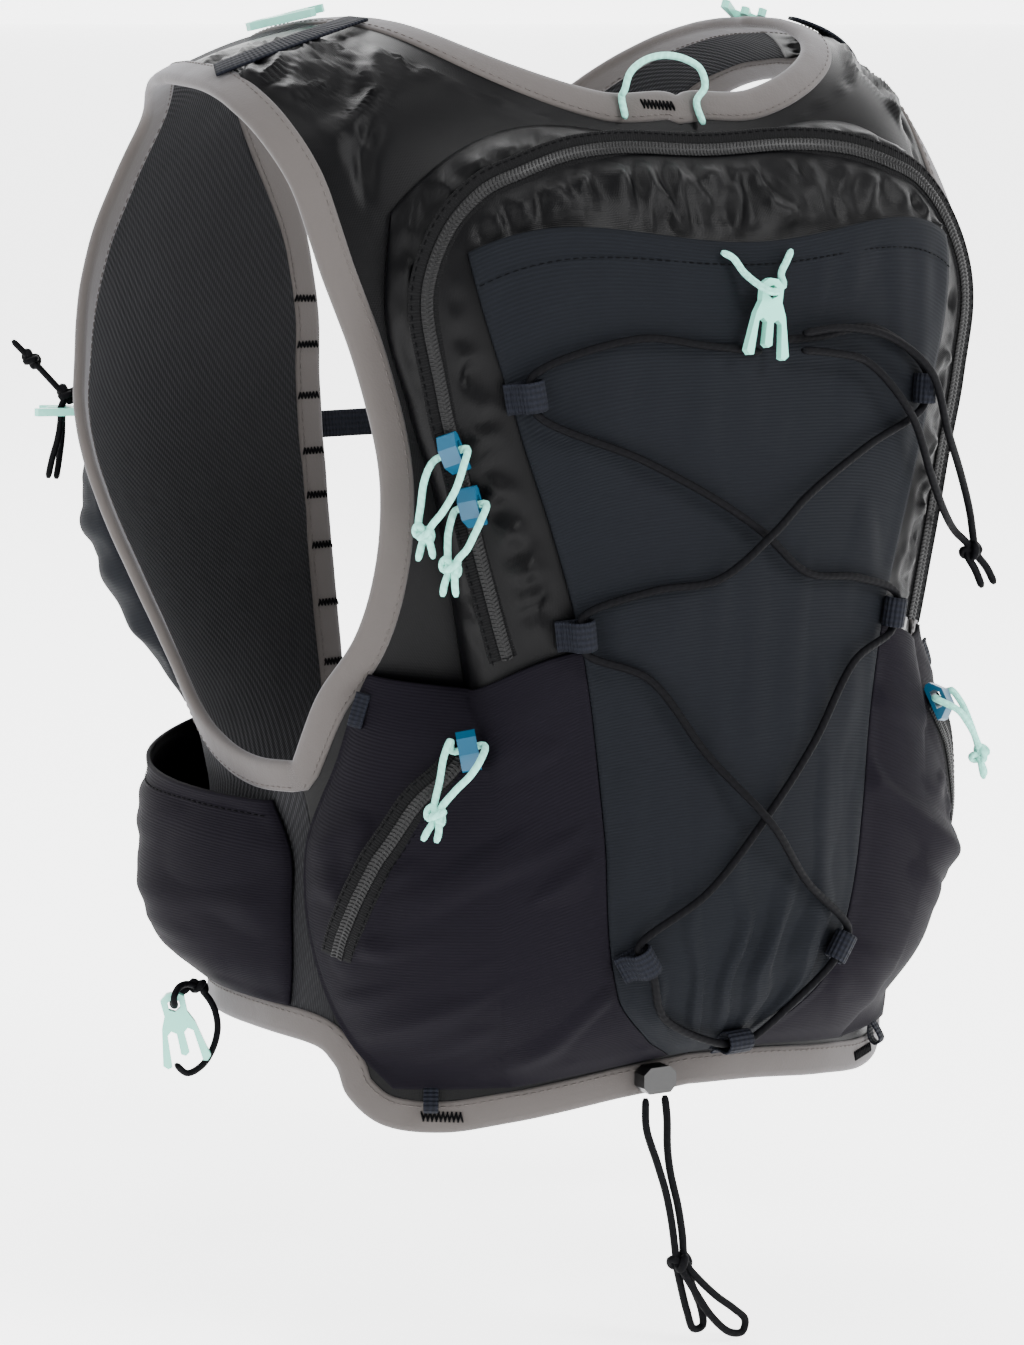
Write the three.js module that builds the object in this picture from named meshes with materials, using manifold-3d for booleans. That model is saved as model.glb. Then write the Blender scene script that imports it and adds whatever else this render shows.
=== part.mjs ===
// Running hydration vest, in millimetres, +Z up, worn facing -Y, with the wearer's left at +X.
// The origin is the middle of the shoulder seat, where the two straps rest on the shoulders.
import * as THREE from 'three';
import Module from 'manifold-3d';
import { mergeVertices } from 'three/addons/utils/BufferGeometryUtils.js';

// The wearer's torso, which all the cloth is laid on
const CHEST_HALF_WIDTH = 186;
const BACK_DEPTH = 97;
const FRONT_DEPTH = 132;
const CHEST_LINE = -130;
const SHOULDER_RISE = 136;
const BODY_DROP = 260;
const WAIST_DROP = 164;
const WAIST_WIDTH_SHARE = 0.71;
const WAIST_BACK_SHARE = 0.92;
const WAIST_FRONT_SHARE = 0.83;
const SHOULDER_FLARE = 0.1;
const RIGHT_TUCK = 0.24;
const TUCK = { lon: -86, width: 50, foot: 8, head: 32, fade: 66 };
const SECTION_POWER = 2.4;
const DOME_POWER = 3;

// Cloth and trim
const CLOTH = 2.4;
const POCKET_CLOTH = 1.6;
const GAP = 0.8;
const LAYER_GAP = 0.7;
const BINDING_WIDTH = 11.5;
const BINDING_INSIDE = 0.9;
const BINDING_OUTSIDE = 1.2;

// Bags and pockets
const PACK_DEPTH = 33;
const OUTER_BULGE = 7;
const SIDE_BULGE = 3;
const FLASK_BULGE = 30;
const FRONT_BULGE = 26;

// Zips, tabs, hooks and cords
const ZIP_WIDTH = 9;
const ZIP_THICK = 1.6;
const ZIP_LIFT = 1.1;
const SLIDER_WIDTH = 7;
const SLIDER_LIFT = 3.6;
const TAB_WIDTH = 11;
const TAB_LIFT = 0.6;
const CORD = 3;
const PULL_CORD = 2.6;
const KNOT = 8;
const PULL_KNOT = 8.4;
const HOOK_THICK = 3;
const STRAP = { width: 11, thick: 1.4 };

// Colours, roughness and metalness of the cloths, cords and hooks
const FINISH = {
  mesh: { color: 0x1c1c20, roughness: 0.95 },
  ripstop: { color: 0x17181b, roughness: 0.45 },
  stretch: { color: 0x141a22, roughness: 0.85 },
  pocket: { color: 0x191722, roughness: 0.8 },
  binding: { color: 0x8a8683, roughness: 0.9 },
  zip: { color: 0x101114, roughness: 0.6 },
  webbing: { color: 0x20242e, roughness: 0.8 },
  cord: { color: 0x15161a, roughness: 0.75 },
  mint: { color: 0xbfe6db, roughness: 0.5 },
  slider: { color: 0x3c8fb0, roughness: 0.35 },
};

// Edges and rows of the body cloth: lon is degrees round from the spine to the wearer's left,
// and lat is degrees above the chest line, or below it a hundredth part of the body drop.
const BACK_ROWS = [
  { inLon: 0, inLat: -53, outLon: 80, outLat: -52 },
  { inLon: 0, inLat: -42, outLon: 73.6, outLat: -42 },
  { inLon: 0, inLat: -30, outLon: 65.5, outLat: -32 },
  { inLon: 0, inLat: -17, outLon: 60.2, outLat: -20 },
  { inLon: 0, inLat: -4, outLon: 58.4, outLat: -8 },
  { inLon: 0, inLat: 10, outLon: 60.2, outLat: 4 },
  { inLon: 0, inLat: 24, outLon: 63, outLat: 15 },
  { inLon: 0, inLat: 38, outLon: 66.2, outLat: 25.2 },
  { inLon: 0, inLat: 53, outLon: 71, outLat: 30.8 },
  { inLon: 22, inLat: 52.3, outLon: 77, outLat: 34.2 },
  { inLon: 46, inLat: 53.5, outLon: 84, outLat: 36.4 },
  { inLon: 70, inLat: 57, outLon: 92, outLat: 37.4 },
  { inLon: 90, inLat: 58.5, outLon: 100, outLat: 37.8 },
];
const FRONT_ROWS = [
  { inLon: 160.6, inLat: -74, outLon: 80, outLat: -52 },
  { inLon: 161, inLat: -66, outLon: 88, outLat: -52.4 },
  { inLon: 161.5, inLat: -58.5, outLon: 95.5, outLat: -51 },
  { inLon: 162.3, inLat: -51, outLon: 102.5, outLat: -47.5 },
  { inLon: 163.4, inLat: -42, outLon: 107.4, outLat: -40 },
  { inLon: 165.2, inLat: -30, outLon: 109.4, outLat: -29 },
  { inLon: 166.8, inLat: -17, outLon: 109.6, outLat: -17 },
  { inLon: 167.4, inLat: -3, outLon: 111, outLat: -5 },
  { inLon: 167, inLat: 10, outLon: 115.5, outLat: 6 },
  { inLon: 163, inLat: 24, outLon: 121.5, outLat: 16 },
  { inLon: 152, inLat: 37, outLon: 125.8, outLat: 25 },
  { inLon: 134, inLat: 48, outLon: 125, outLat: 33 },
  { inLon: 112, inLat: 55.5, outLon: 114, outLat: 37 },
  { inLon: 90, inLat: 58.5, outLon: 100, outLat: 37.8 },
];
const HEM = [
  { lon: 0, lat: -100.4 },
  { lon: 26, lat: -101.2 },
  { lon: 48, lat: -103 },
  { lon: 60, lat: -104.2 },
  { lon: 68.5, lat: -103.4 },
  { lon: 73.4, lat: -99.6 },
  { lon: 75.4, lat: -95 },
  { lon: 80.5, lat: -92.4 },
  { lon: 100, lat: -92.6 },
  { lon: 124, lat: -94 },
  { lon: 152, lat: -94.5 },
];

// The main bag: v runs from its bottom seam to its top seam, s from the spine to its side seam
const PACK_BOTTOM = -95.2;
const PACK_TOP = 45.5;
const PACK_TOP_DROP = 20;
const PACK_DEPTHS = [
  { v: 0, share: 0.03 },
  { v: 0.02, share: 0.3 },
  { v: 0.063, share: 0.62 },
  { v: 0.12, share: 0.82 },
  { v: 0.25, share: 1 },
  { v: 0.37, share: 0.93 },
  { v: 0.5, share: 0.82 },
  { v: 0.68, share: 0.72 },
  { v: 0.81, share: 0.7 },
  { v: 0.9, share: 0.6 },
  { v: 0.965, share: 0.32 },
  { v: 1, share: 0.03 },
];
const PACK_WIDTHS = [
  { v: 0, half: 50, pocket: 10 },
  { v: 0.03, half: 52, pocket: 22 },
  { v: 0.09, half: 53, pocket: 33 },
  { v: 0.26, half: 54, pocket: 37.5 },
  { v: 0.47, half: 53.8, pocket: 38 },
  { v: 0.58, half: 52.8, pocket: 40 },
  { v: 0.69, half: 52.6, pocket: 43.2 },
  { v: 0.78, half: 54.6, pocket: 46 },
  { v: 0.88, half: 57, pocket: 48.6 },
  { v: 1, half: 56, pocket: 50 },
];
const POCKET_TOP_V = 0.88;
const POCKET_CORNER_RISE = 0.01;
const SIDE_TOP_V = 0.46;
const SIDE_TOP_RISE = 3.5;

// The side pocket's outer seam, the crown of each pocket, and the pockets on the front
const SIDE_SEAM = [
  { v: 0, lon: 67 },
  { v: 0.05, lon: 72.5 },
  { v: 0.12, lon: 76.5 },
  { v: 0.2, lon: 78.6 },
  { v: 0.28, lon: 78.4 },
  { v: 0.34, lon: 75.6 },
  { v: 0.4, lon: 71.2 },
  { v: 0.46, lon: 65.8 },
];
const SIDE_CROWN = [
  { v: 0, share: 0 },
  { v: 0.05, share: 0.6 },
  { v: 0.12, share: 0.95 },
  { v: 0.28, share: 1 },
  { v: 0.415, share: 0.85 },
  { v: 0.46, share: 0.25 },
];
const FRONT_POCKET = [
  { v: 0, inLon: 139, inLat: -89.2, outLon: 82, outLat: -87.5, share: 0.05 },
  { v: 0.15, inLon: 146, inLat: -84, outLon: 81.5, outLat: -82, share: 0.75 },
  { v: 0.4, inLon: 150, inLat: -74, outLon: 81.5, outLat: -74, share: 1 },
  { v: 0.75, inLon: 151, inLat: -60.5, outLon: 81.5, outLat: -65.5, share: 0.95 },
  { v: 1, inLon: 151, inLat: -50.5, outLon: 84.5, outLat: -58, share: 0.78 },
];
const FLASK_POCKET = [
  { v: 0, inLon: 153.5, inLat: -48.5, outLon: 117, outLat: -48.5, share: 0.3 },
  { v: 0.18, inLon: 156, inLat: -38, outLon: 115.6, outLat: -38, share: 0.8 },
  { v: 0.5, inLon: 158.5, inLat: -22, outLon: 115.6, outLat: -21, share: 1 },
  { v: 0.8, inLon: 160, inLat: -7, outLon: 117.5, outLat: -13, share: 0.7 },
  { v: 1, inLon: 160.5, inLat: 2, outLon: 119, outLat: -10, share: 0.45 },
];

// Curves and shapes
const smooth = (t) => {
  const c = Math.min(1, Math.max(0, t));
  return c * c * (3 - 2 * c);
};
const mix = (a, b, t) => a + (b - a) * t;
const radians = THREE.MathUtils.degToRad;

// A column of a table at one place along it, on a smooth line through the rows
function lookUp(rows, along, column, at) {
  let i = 0;
  while (i < rows.length - 2 && at > rows[i + 1][along]) i += 1;
  const [a, b] = [rows[i], rows[i + 1]];
  const before = rows[i - 1] ?? a;
  const after = rows[i + 2] ?? b;
  const span = b[along] - a[along];
  const t = Math.min(1, Math.max(0, (at - a[along]) / span));
  const slopeIn = (b[column] - before[column]) / (b[along] - before[along]);
  const slopeOut = (after[column] - a[column]) / (after[along] - a[along]);
  const [t2, t3] = [t * t, t * t * t];
  return (2 * t3 - 3 * t2 + 1) * a[column] + (t3 - 2 * t2 + t) * span * slopeIn
    + (3 * t2 - 2 * t3) * b[column] + (t3 - t2) * span * slopeOut;
}

// Points spread along a table's rows by their place in it, from 0 to 1
function trace(rows, t) {
  const numbered = rows.map((row, at) => ({ ...row, at }));
  const at = t * (rows.length - 1);
  const pick = (column) => lookUp(numbered, 'at', column, at);
  return Object.fromEntries(Object.keys(rows[0]).map((column) => [column, pick(column)]));
}
const steps = (n) => Array.from({ length: n + 1 }, (_, i) => i / n);

// How far the right shoulder is drawn in, as a share of the torso's half width
function tuck(lon, lat) {
  const round = smooth(1 - Math.abs(lon - TUCK.lon) / TUCK.width);
  const up = smooth((lat - TUCK.foot) / (TUCK.head - TUCK.foot));
  const over = smooth((TUCK.fade - lat) / (TUCK.fade - TUCK.head));
  return RIGHT_TUCK * round * up * over;
}

// The torso: superellipse sections that close over the shoulders as a dome and narrow to the waist
function torso(lon, lat) {
  const u = radians(lon);
  const [sin, cos] = [Math.sin(u), Math.cos(u)];
  const depth = cos >= 0 ? BACK_DEPTH : FRONT_DEPTH;
  const reach = (Math.abs(sin / CHEST_HALF_WIDTH) ** SECTION_POWER
    + Math.abs(cos / depth) ** SECTION_POWER) ** (-1 / SECTION_POWER);
  const [x, y] = [sin * reach, cos * reach];
  if (lat < 0) {
    const drop = -lat * BODY_DROP / 100;
    const waist = smooth(drop / WAIST_DROP);
    const wide = mix(1, WAIST_WIDTH_SHARE, waist);
    const deep = mix(1, y > 0 ? WAIST_BACK_SHARE : WAIST_FRONT_SHARE, waist);
    return new THREE.Vector3(x * wide, y * deep, CHEST_LINE - drop);
  }
  const phi = radians(Math.min(lat, 90));
  const dome = ((Math.cos(phi) / reach) ** DOME_POWER
    + (Math.sin(phi) / SHOULDER_RISE) ** DOME_POWER) ** (-1 / DOME_POWER);
  const rise = Math.sin(phi) * dome;
  const inward = Math.cos(phi) * dome / reach;
  const flare = 1 + SHOULDER_FLARE * smooth(rise / SHOULDER_RISE) - tuck(lon, lat);
  return new THREE.Vector3(x * inward * flare, y * inward, CHEST_LINE + rise);
}

// Directions along the torso for one degree of lon and of lat, and straight out of it
function axesAt(lon, lat) {
  const east = torso(lon + 0.5, lat).sub(torso(lon - 0.5, lat));
  const north = torso(lon, lat + 0.5).sub(torso(lon, lat - 0.5));
  const out = new THREE.Vector3().crossVectors(north, east).normalize();
  return { east, north, out };
}
function onTorso(lon, lat, height) {
  return torso(lon, lat).addScaledVector(axesAt(lon, lat).out, height);
}

// A path on the torso, moved sideways across the cloth by a distance
function inset(path, distance, closed = false) {
  const at = (i) => {
    if (closed) return path[(i + path.length) % path.length];
    return path[Math.min(path.length - 1, Math.max(0, i))];
  };
  return path.map(({ lon, lat }, i) => {
    const { east, north, out } = axesAt(lon, lat);
    const [before, after] = [at(i - 1), at(i + 1)];
    const here = torso(lon, lat);
    const arriving = here.clone().sub(torso(before.lon, before.lat)).normalize();
    const leaving = torso(after.lon, after.lat).sub(here).normalize();
    const tangent = arriving.add(leaving);
    const spread = tangent.length() > 1 ? Math.max(tangent.length() / 2, 0.7) : 1;
    const side = new THREE.Vector3().crossVectors(out, tangent).normalize();
    side.multiplyScalar(distance / spread);
    const [ee, nn, en] = [east.dot(east), north.dot(north), east.dot(north)];
    const [se, sn] = [side.dot(east), side.dot(north)];
    const area = ee * nn - en * en;
    return { lon: lon + (se * nn - sn * en) / area, lat: lat + (sn * ee - se * en) / area };
  });
}

// A closed geometry from points and triangles, turned to face out
function closedGeometry(points, triangles) {
  let volume = 0;
  for (const [a, b, c] of triangles) {
    volume += points[a].dot(new THREE.Vector3().crossVectors(points[b], points[c]));
  }
  const faces = volume < 0 ? triangles.map(([a, b, c]) => [a, c, b]) : triangles;
  const geometry = new THREE.BufferGeometry().setFromPoints(points);
  geometry.setIndex(faces.flat());
  geometry.computeVertexNormals();
  return geometry;
}

// A sheet of cloth from quads of corners, each with its lon, lat and its low and high face
function sheet(quads) {
  const numbers = new Map();
  const points = [];
  const numberOf = (corner, side) => {
    const key = `${corner.lon.toFixed(4)} ${corner.lat.toFixed(4)} ${side}`;
    if (!numbers.has(key)) {
      numbers.set(key, points.length);
      points.push(onTorso(corner.lon, corner.lat, corner[side]));
    }
    return numbers.get(key);
  };
  const triangles = [];
  const add = (...corners) => {
    if (new Set(corners).size === 3) triangles.push(corners);
  };
  const edges = new Map();
  for (const quad of quads) {
    const high = quad.map((corner) => numberOf(corner, 'high'));
    const low = quad.map((corner) => numberOf(corner, 'low'));
    add(high[0], high[1], high[2]);
    add(high[0], high[2], high[3]);
    add(low[0], low[2], low[1]);
    add(low[0], low[3], low[2]);
    for (let i = 0; i < 4; i += 1) {
      const j = (i + 1) % 4;
      if (high[i] === high[j]) continue;
      edges.set(`${high[i]} ${high[j]}`, [high[i], high[j], low[i], low[j]]);
    }
  }
  for (const [a, b, aLow, bLow] of edges.values()) {
    if (edges.has(`${b} ${a}`)) continue;
    add(b, a, aLow);
    add(b, aLow, bLow);
  }
  return closedGeometry(points, triangles);
}

// Quads between rows of corners
function quadsOf(rows) {
  const quads = [];
  for (let i = 0; i + 1 < rows.length; i += 1) {
    for (let j = 0; j + 1 < rows[i].length; j += 1) {
      quads.push([rows[i][j], rows[i][j + 1], rows[i + 1][j + 1], rows[i + 1][j]]);
    }
  }
  return quads;
}
const mirrored = (rows) => rows.map((row) => [...row].reverse().map((c) => ({ ...c, lon: -c.lon })));
const flat = (low, high) => (corner) => ({ ...corner, low, high });
const lifted = (rows, raise) => rows.map((row) => row.map(raise));

// A closed geometry through a list of equal rings of points
function throughRings(rings) {
  const sides = rings[0].length;
  const triangles = [];
  for (let start = sides; start < rings.length * sides; start += sides) {
    for (let k = 0; k < sides; k += 1) {
      const [a, b] = [start + k, start + (k + 1) % sides];
      triangles.push([a, b, b - sides], [a, b - sides, a - sides]);
    }
  }
  const last = (rings.length - 1) * sides;
  for (let k = 1; k + 1 < sides; k += 1) {
    triangles.push([0, k, k + 1], [last, last + k + 1, last + k]);
  }
  return closedGeometry(rings.flat(), triangles);
}

// A cord of round section along a smooth line through its points
function cord(route, diameter, perSpan = 2, sides = 8) {
  const curve = new THREE.CatmullRomCurve3(route, false, 'centripetal');
  const line = curve.getPoints((route.length - 1) * perSpan);
  const side = new THREE.Vector3(0.31, 0.52, 0.8);
  return throughRings(line.map((point, i) => {
    const ahead = line[Math.min(i + 1, line.length - 1)];
    const tangent = ahead.clone().sub(line[Math.max(i - 1, 0)]).normalize();
    side.addScaledVector(tangent, -side.dot(tangent)).normalize();
    const up = new THREE.Vector3().crossVectors(tangent, side);
    return steps(sides).slice(0, -1).map((t) => point.clone()
      .addScaledVector(side, Math.cos(2 * Math.PI * t) * diameter / 2)
      .addScaledVector(up, Math.sin(2 * Math.PI * t) * diameter / 2));
  }));
}

// A flat strip along stations, each with a point and the way out of the cloth there
function strip(stations, width, thick) {
  return throughRings(stations.map(({ point, out }, i) => {
    const before = stations[Math.max(0, i - 1)].point;
    const after = stations[Math.min(stations.length - 1, i + 1)].point;
    const side = new THREE.Vector3().crossVectors(out, after.clone().sub(before)).setLength(width / 2);
    return [[-1, 0], [1, 0], [1, thick], [-1, thick]].map(([across, up]) => (
      point.clone().addScaledVector(side, across).addScaledVector(out, up)));
  }));
}

// Joins and cuts
const wasm = await Module();
wasm.setup();
function solid(geometry, matrix = new THREE.Matrix4()) {
  const bare = new THREE.BufferGeometry();
  bare.setAttribute('position', geometry.getAttribute('position').clone());
  if (geometry.index) bare.setIndex(geometry.index);
  const merged = mergeVertices(bare.applyMatrix4(matrix), 1e-4);
  return new wasm.Manifold(new wasm.Mesh({
    numProp: 3,
    vertProperties: new Float32Array(merged.getAttribute('position').array),
    triVerts: new Uint32Array(merged.index.array),
  }));
}
function geometryOf(manifold) {
  const { vertProperties, triVerts, numProp } = manifold.getMesh();
  const geometry = new THREE.BufferGeometry();
  const positions = Array.from({ length: vertProperties.length / numProp * 3 },
    (_, i) => vertProperties[Math.floor(i / 3) * numProp + i % 3]);
  geometry.setAttribute('position', new THREE.Float32BufferAttribute(positions, 3));
  geometry.setIndex(Array.from(triVerts));
  geometry.computeVertexNormals();
  return geometry;
}
const joined = (first, ...others) => geometryOf(others.reduce((sum, next) => sum.add(next), first));

// The frame of a small piece lying on a surface: X along it, turned from up, and Z out of it
const NUDGE = 0.01;
function seat(surface, a, b, height, turn = 0) {
  const point = surface(a, b, height);
  const reach = surface === onTorso ? 0.5 : NUDGE;
  const east = surface(a + reach, b, height).sub(surface(a - reach, b, height));
  const up = surface(a, b + reach, height).sub(surface(a, b - reach, height)).normalize();
  const out = new THREE.Vector3().crossVectors(up, east).normalize();
  const across = new THREE.Vector3().crossVectors(out, up).normalize();
  const spin = radians(turn);
  const along = up.clone().multiplyScalar(Math.cos(spin)).addScaledVector(across, Math.sin(spin));
  const side = new THREE.Vector3().crossVectors(out, along);
  return new THREE.Matrix4().makeBasis(along, side, out).setPosition(point);
}
const origin = (matrix) => new THREE.Vector3().setFromMatrixPosition(matrix);
const outward = (matrix) => new THREE.Vector3().setFromMatrixColumn(matrix, 2);

// Points at offsets from an anchor, mirrored for the right side
const offsets = (anchor, list, sign = 1) => list.map(([x, y, z]) => (
  new THREE.Vector3(anchor.x + sign * x, anchor.y + y, anchor.z + z)));

// Points in the frame of a small piece
const inFrame = (matrix, list) => list.map((p) => new THREE.Vector3(...p).applyMatrix4(matrix));

// A plate cut to an outline with holes, lying in its frame or standing along it
function plate(outlinePoints, holes, thick) {
  const shape = new THREE.Shape(outlinePoints.map(([x, y]) => new THREE.Vector2(x, y)));
  shape.holes = holes.map((points) => new THREE.Path(points.map(([x, y]) => new THREE.Vector2(x, y))));
  return new THREE.ExtrudeGeometry(shape, { depth: thick, bevelEnabled: false });
}
const standing = (geometry, thick) => geometry.translate(0, 0, -thick / 2).rotateX(Math.PI / 2);
function ring(x, y, radius, sides) {
  return steps(sides).slice(1).map((t) => [
    x + radius * Math.cos(2 * Math.PI * t),
    y - radius * Math.sin(2 * Math.PI * t),
  ]);
}

const vest = new THREE.Group();
function piece(name, geometry, finish) {
  const material = new THREE.MeshStandardMaterial({ metalness: 0, ...FINISH[finish] });
  const mesh = new THREE.Mesh(geometry, material);
  mesh.name = name;
  vest.add(mesh);
}
const SIDES = [{ side: 'left', sign: 1 }, { side: 'right', sign: -1 }];

// The outline of one half of the vest, from the spine along the hem, up the front and round the neck
const HEM_COLUMNS = [0, 0.1, 0.15, 0.2, 0.3, 0.4, 0.5, 0.6, 0.7, 0.8, 0.9, 0.95, 1];
const HEM_SEAM = 7;
const BACK_STEPS = 24;
const NECK_STEP = 16;
const FRONT_STEPS = 26;
const SEAM_STEPS = 4;
const hem = HEM_COLUMNS.map((t) => trace(HEM, t));
const backRows = steps(BACK_STEPS).map((t) => trace(BACK_ROWS, t));
const frontRows = steps(FRONT_STEPS).map((t) => trace(FRONT_ROWS, t));
const inner = ({ inLon, inLat }) => ({ lon: inLon, lat: inLat });
const outer = ({ outLon, outLat }) => ({ lon: outLon, lat: outLat });
const between = (a, b, t) => ({ lon: mix(a.lon, b.lon, t), lat: mix(a.lat, b.lat, t) });
const frontCorner = hem.at(-1);
const rise = steps(SEAM_STEPS).slice(1, -1);
const frontEdge = [
  ...rise.map((t) => between(frontCorner, inner(frontRows[0]), t)),
  ...frontRows.map(inner),
];
const neckEdge = backRows.slice(NECK_STEP, -1).map(inner).reverse();
const outline = [...hem, ...frontEdge, ...neckEdge];
const hole = [...backRows.map(outer), ...frontRows.slice(1, -1).map(outer).reverse()];
const onSpine = (path) => path.map((p, i) => (i % (path.length - 1) ? p : { ...p, lon: 0 }));
const boundClothEdge = onSpine(inset(outline, -(BINDING_WIDTH + GAP)));
const boundTrimEdge = onSpine(inset(outline, -BINDING_WIDTH));
const holeClothEdge = inset(hole, -(BINDING_WIDTH + GAP), true);
const holeTrimEdge = inset(hole, -BINDING_WIDTH, true);

// Rows of a body panel, each from one point to another at given shares of the way
const rowBetween = (a, b, shares) => shares.map((share) => between(a, b, share));
function lowerRows(hemRow, cornerRow, shares, frontSide = []) {
  return steps(SEAM_STEPS).slice(0, -1).map((t, i) => {
    const plain = hemRow.map((corner, j) => between(corner, cornerRow[j], t));
    const edge = frontSide[i] ?? plain.at(-1);
    const shift = { lon: edge.lon - plain.at(-1).lon, lat: edge.lat - plain.at(-1).lat };
    return plain.map(({ lon, lat }, j) => ({
      lon: lon + shift.lon * shares[j],
      lat: lat + shift.lat * shares[j],
    }));
  });
}
const sharesOf = (row) => row.map(({ lon }) => (lon - row[0].lon) / (row.at(-1).lon - row[0].lon));
const seamShift = (lon, lat) => GAP / 2 / axesAt(lon, lat).east.length();
const nudged = (corner, way) => ({ ...corner, lon: corner.lon + way * seamShift(corner.lon, corner.lat) });

const backHem = boundClothEdge.slice(0, HEM_SEAM + 1);
const backShares = sharesOf(hem.slice(0, HEM_SEAM + 1));
const neckTop = boundClothEdge.at(-1).lat;
const spineFoot = backRows[0].inLat;
const spineSpan = backRows[NECK_STEP].inLat - spineFoot;
const spineLat = (lat) => mix(spineFoot, neckTop, (lat - spineFoot) / spineSpan);
const backUpper = backRows.map((row, i) => {
  const neck = boundClothEdge[boundClothEdge.length - 1 - (i - NECK_STEP)];
  const start = i < NECK_STEP ? { lon: 0, lat: spineLat(row.inLat) } : neck;
  return rowBetween(start, holeClothEdge[i], backShares);
});
const backHalf = [...lowerRows(backHem, backUpper[0], backShares), ...backUpper];
const backPanel = backHalf.map((row, i) => row.map((corner, j) => {
  if (i === backHalf.length - 1) return nudged(corner, -1);
  return i <= SEAM_STEPS && j === row.length - 1 ? nudged(corner, -1) : corner;
}));

const frontHem = boundClothEdge.slice(HEM_SEAM, hem.length);
const frontShares = sharesOf(hem.slice(HEM_SEAM));
const frontBound = boundClothEdge.slice(hem.length, hem.length + frontEdge.length);
const frontHole = [holeClothEdge[0], ...holeClothEdge.slice(BACK_STEPS).reverse()];
const frontUpper = frontRows.map((_, i) => (
  rowBetween(frontHole[i], frontBound[i + rise.length], frontShares)));
const frontHalf = [
  ...lowerRows(frontHem, frontUpper[0], frontShares, [frontHem.at(-1), ...frontBound]),
  ...frontUpper,
];
const frontPanel = frontHalf.map((row, i) => row.map((corner, j) => {
  if (i === frontHalf.length - 1) return nudged(corner, 1);
  return i <= SEAM_STEPS && j === 0 ? nudged(corner, 1) : corner;
}));

const cloth = flat(0, CLOTH);
piece('back_panel', sheet([
  ...quadsOf(lifted(backPanel, cloth)),
  ...quadsOf(lifted(mirrored(backPanel), cloth)),
]), 'ripstop');
const trim = flat(-BINDING_INSIDE, CLOTH + BINDING_OUTSIDE);
const ribbonRows = (edge, inside) => edge.map((corner, i) => [corner, inside[i]]);
for (const { side, sign } of SIDES) {
  const placed = (rows) => (sign > 0 ? rows : mirrored(rows));
  piece(`front_panel_${side}`, sheet(quadsOf(lifted(placed(frontPanel), cloth))), 'mesh');
  const armhole = ribbonRows([...hole, hole[0]], [...holeTrimEdge, holeTrimEdge[0]]);
  piece(`armhole_binding_${side}`, sheet(quadsOf(lifted(placed(armhole), trim))), 'binding');
}

// Bindings: the neck with the two front edges, and the hem, which meet at the lower front corners
const cut = outline.findIndex(({ lon }) => lon === frontCorner.lon);
const shortened = (rows) => {
  const [last, before] = [rows.at(-1), rows.at(-2)];
  const length = torso(last[0].lon, last[0].lat).distanceTo(torso(before[0].lon, before[0].lat));
  return [...rows.slice(0, -1), last.map((corner, i) => between(corner, before[i], GAP / length))];
};
const edgeRows = ribbonRows(outline, boundTrimEdge);
for (const [name, rows] of [['hem', shortened(edgeRows.slice(0, cut + 1))], ['neck', edgeRows.slice(cut)]]) {
  piece(`${name}_binding`, sheet([
    ...quadsOf(lifted(rows, trim)),
    ...quadsOf(lifted(mirrored(rows), trim)),
  ]), 'binding');
}

// The main bag on the back: a thin shell, open to the back panel behind it
const packWidth = (v, column) => lookUp(PACK_WIDTHS, 'v', column, v);
const roll = (s) => Math.max(0, 1 - Math.abs(s) ** 9) ** 0.5 * (1 - 0.15 * s * s);
const FLANGE = CLOTH + LAYER_GAP;
const PACK_BASE = FLANGE + POCKET_CLOTH;
const packHeight = (s, v) => PACK_BASE + PACK_DEPTH * lookUp(PACK_DEPTHS, 'v', 'share', v) * roll(s);
const PACK_BOTTOM_SAG = 2.5;
function packPlace(s, v) {
  const c = Math.min(1, Math.abs(s));
  const bottom = PACK_BOTTOM - PACK_BOTTOM_SAG * c ** 2;
  return { lon: s * packWidth(v, 'half'), lat: mix(bottom, PACK_TOP - PACK_TOP_DROP * c ** 5, v) };
}
const PACK_ROWS = [
  0, 0.02, 0.06, 0.12, 0.2, 0.28, 0.36, 0.415, 0.46, 0.52, 0.58, 0.66, 0.74, 0.81, 0.88, 0.92, 0.96, 1,
];
const POCKET_COLUMNS = [0, 0.4, 0.75, 1];
const FLANK_COLUMNS = [0.35, 0.65, 0.88, 1];
const pocketEdge = (v) => packWidth(v, 'pocket') / packWidth(v, 'half');
const packColumns = (v) => [
  ...POCKET_COLUMNS.map((t) => t * pocketEdge(v)),
  ...FLANK_COLUMNS.map((t) => mix(pocketEdge(v), 1, t)),
];
const bothWays = (columns) => [...columns.slice(1).map((s) => -s).reverse(), ...columns];
const packCorner = (s, v, low, high) => ({ ...packPlace(s, v), low, high });
piece('main_compartment', sheet(quadsOf(PACK_ROWS.map((v) => bothWays(packColumns(v)).map((s) => {
  const height = packHeight(s, v);
  return packCorner(s, v, height - POCKET_CLOTH, height);
})))), 'ripstop');

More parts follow.
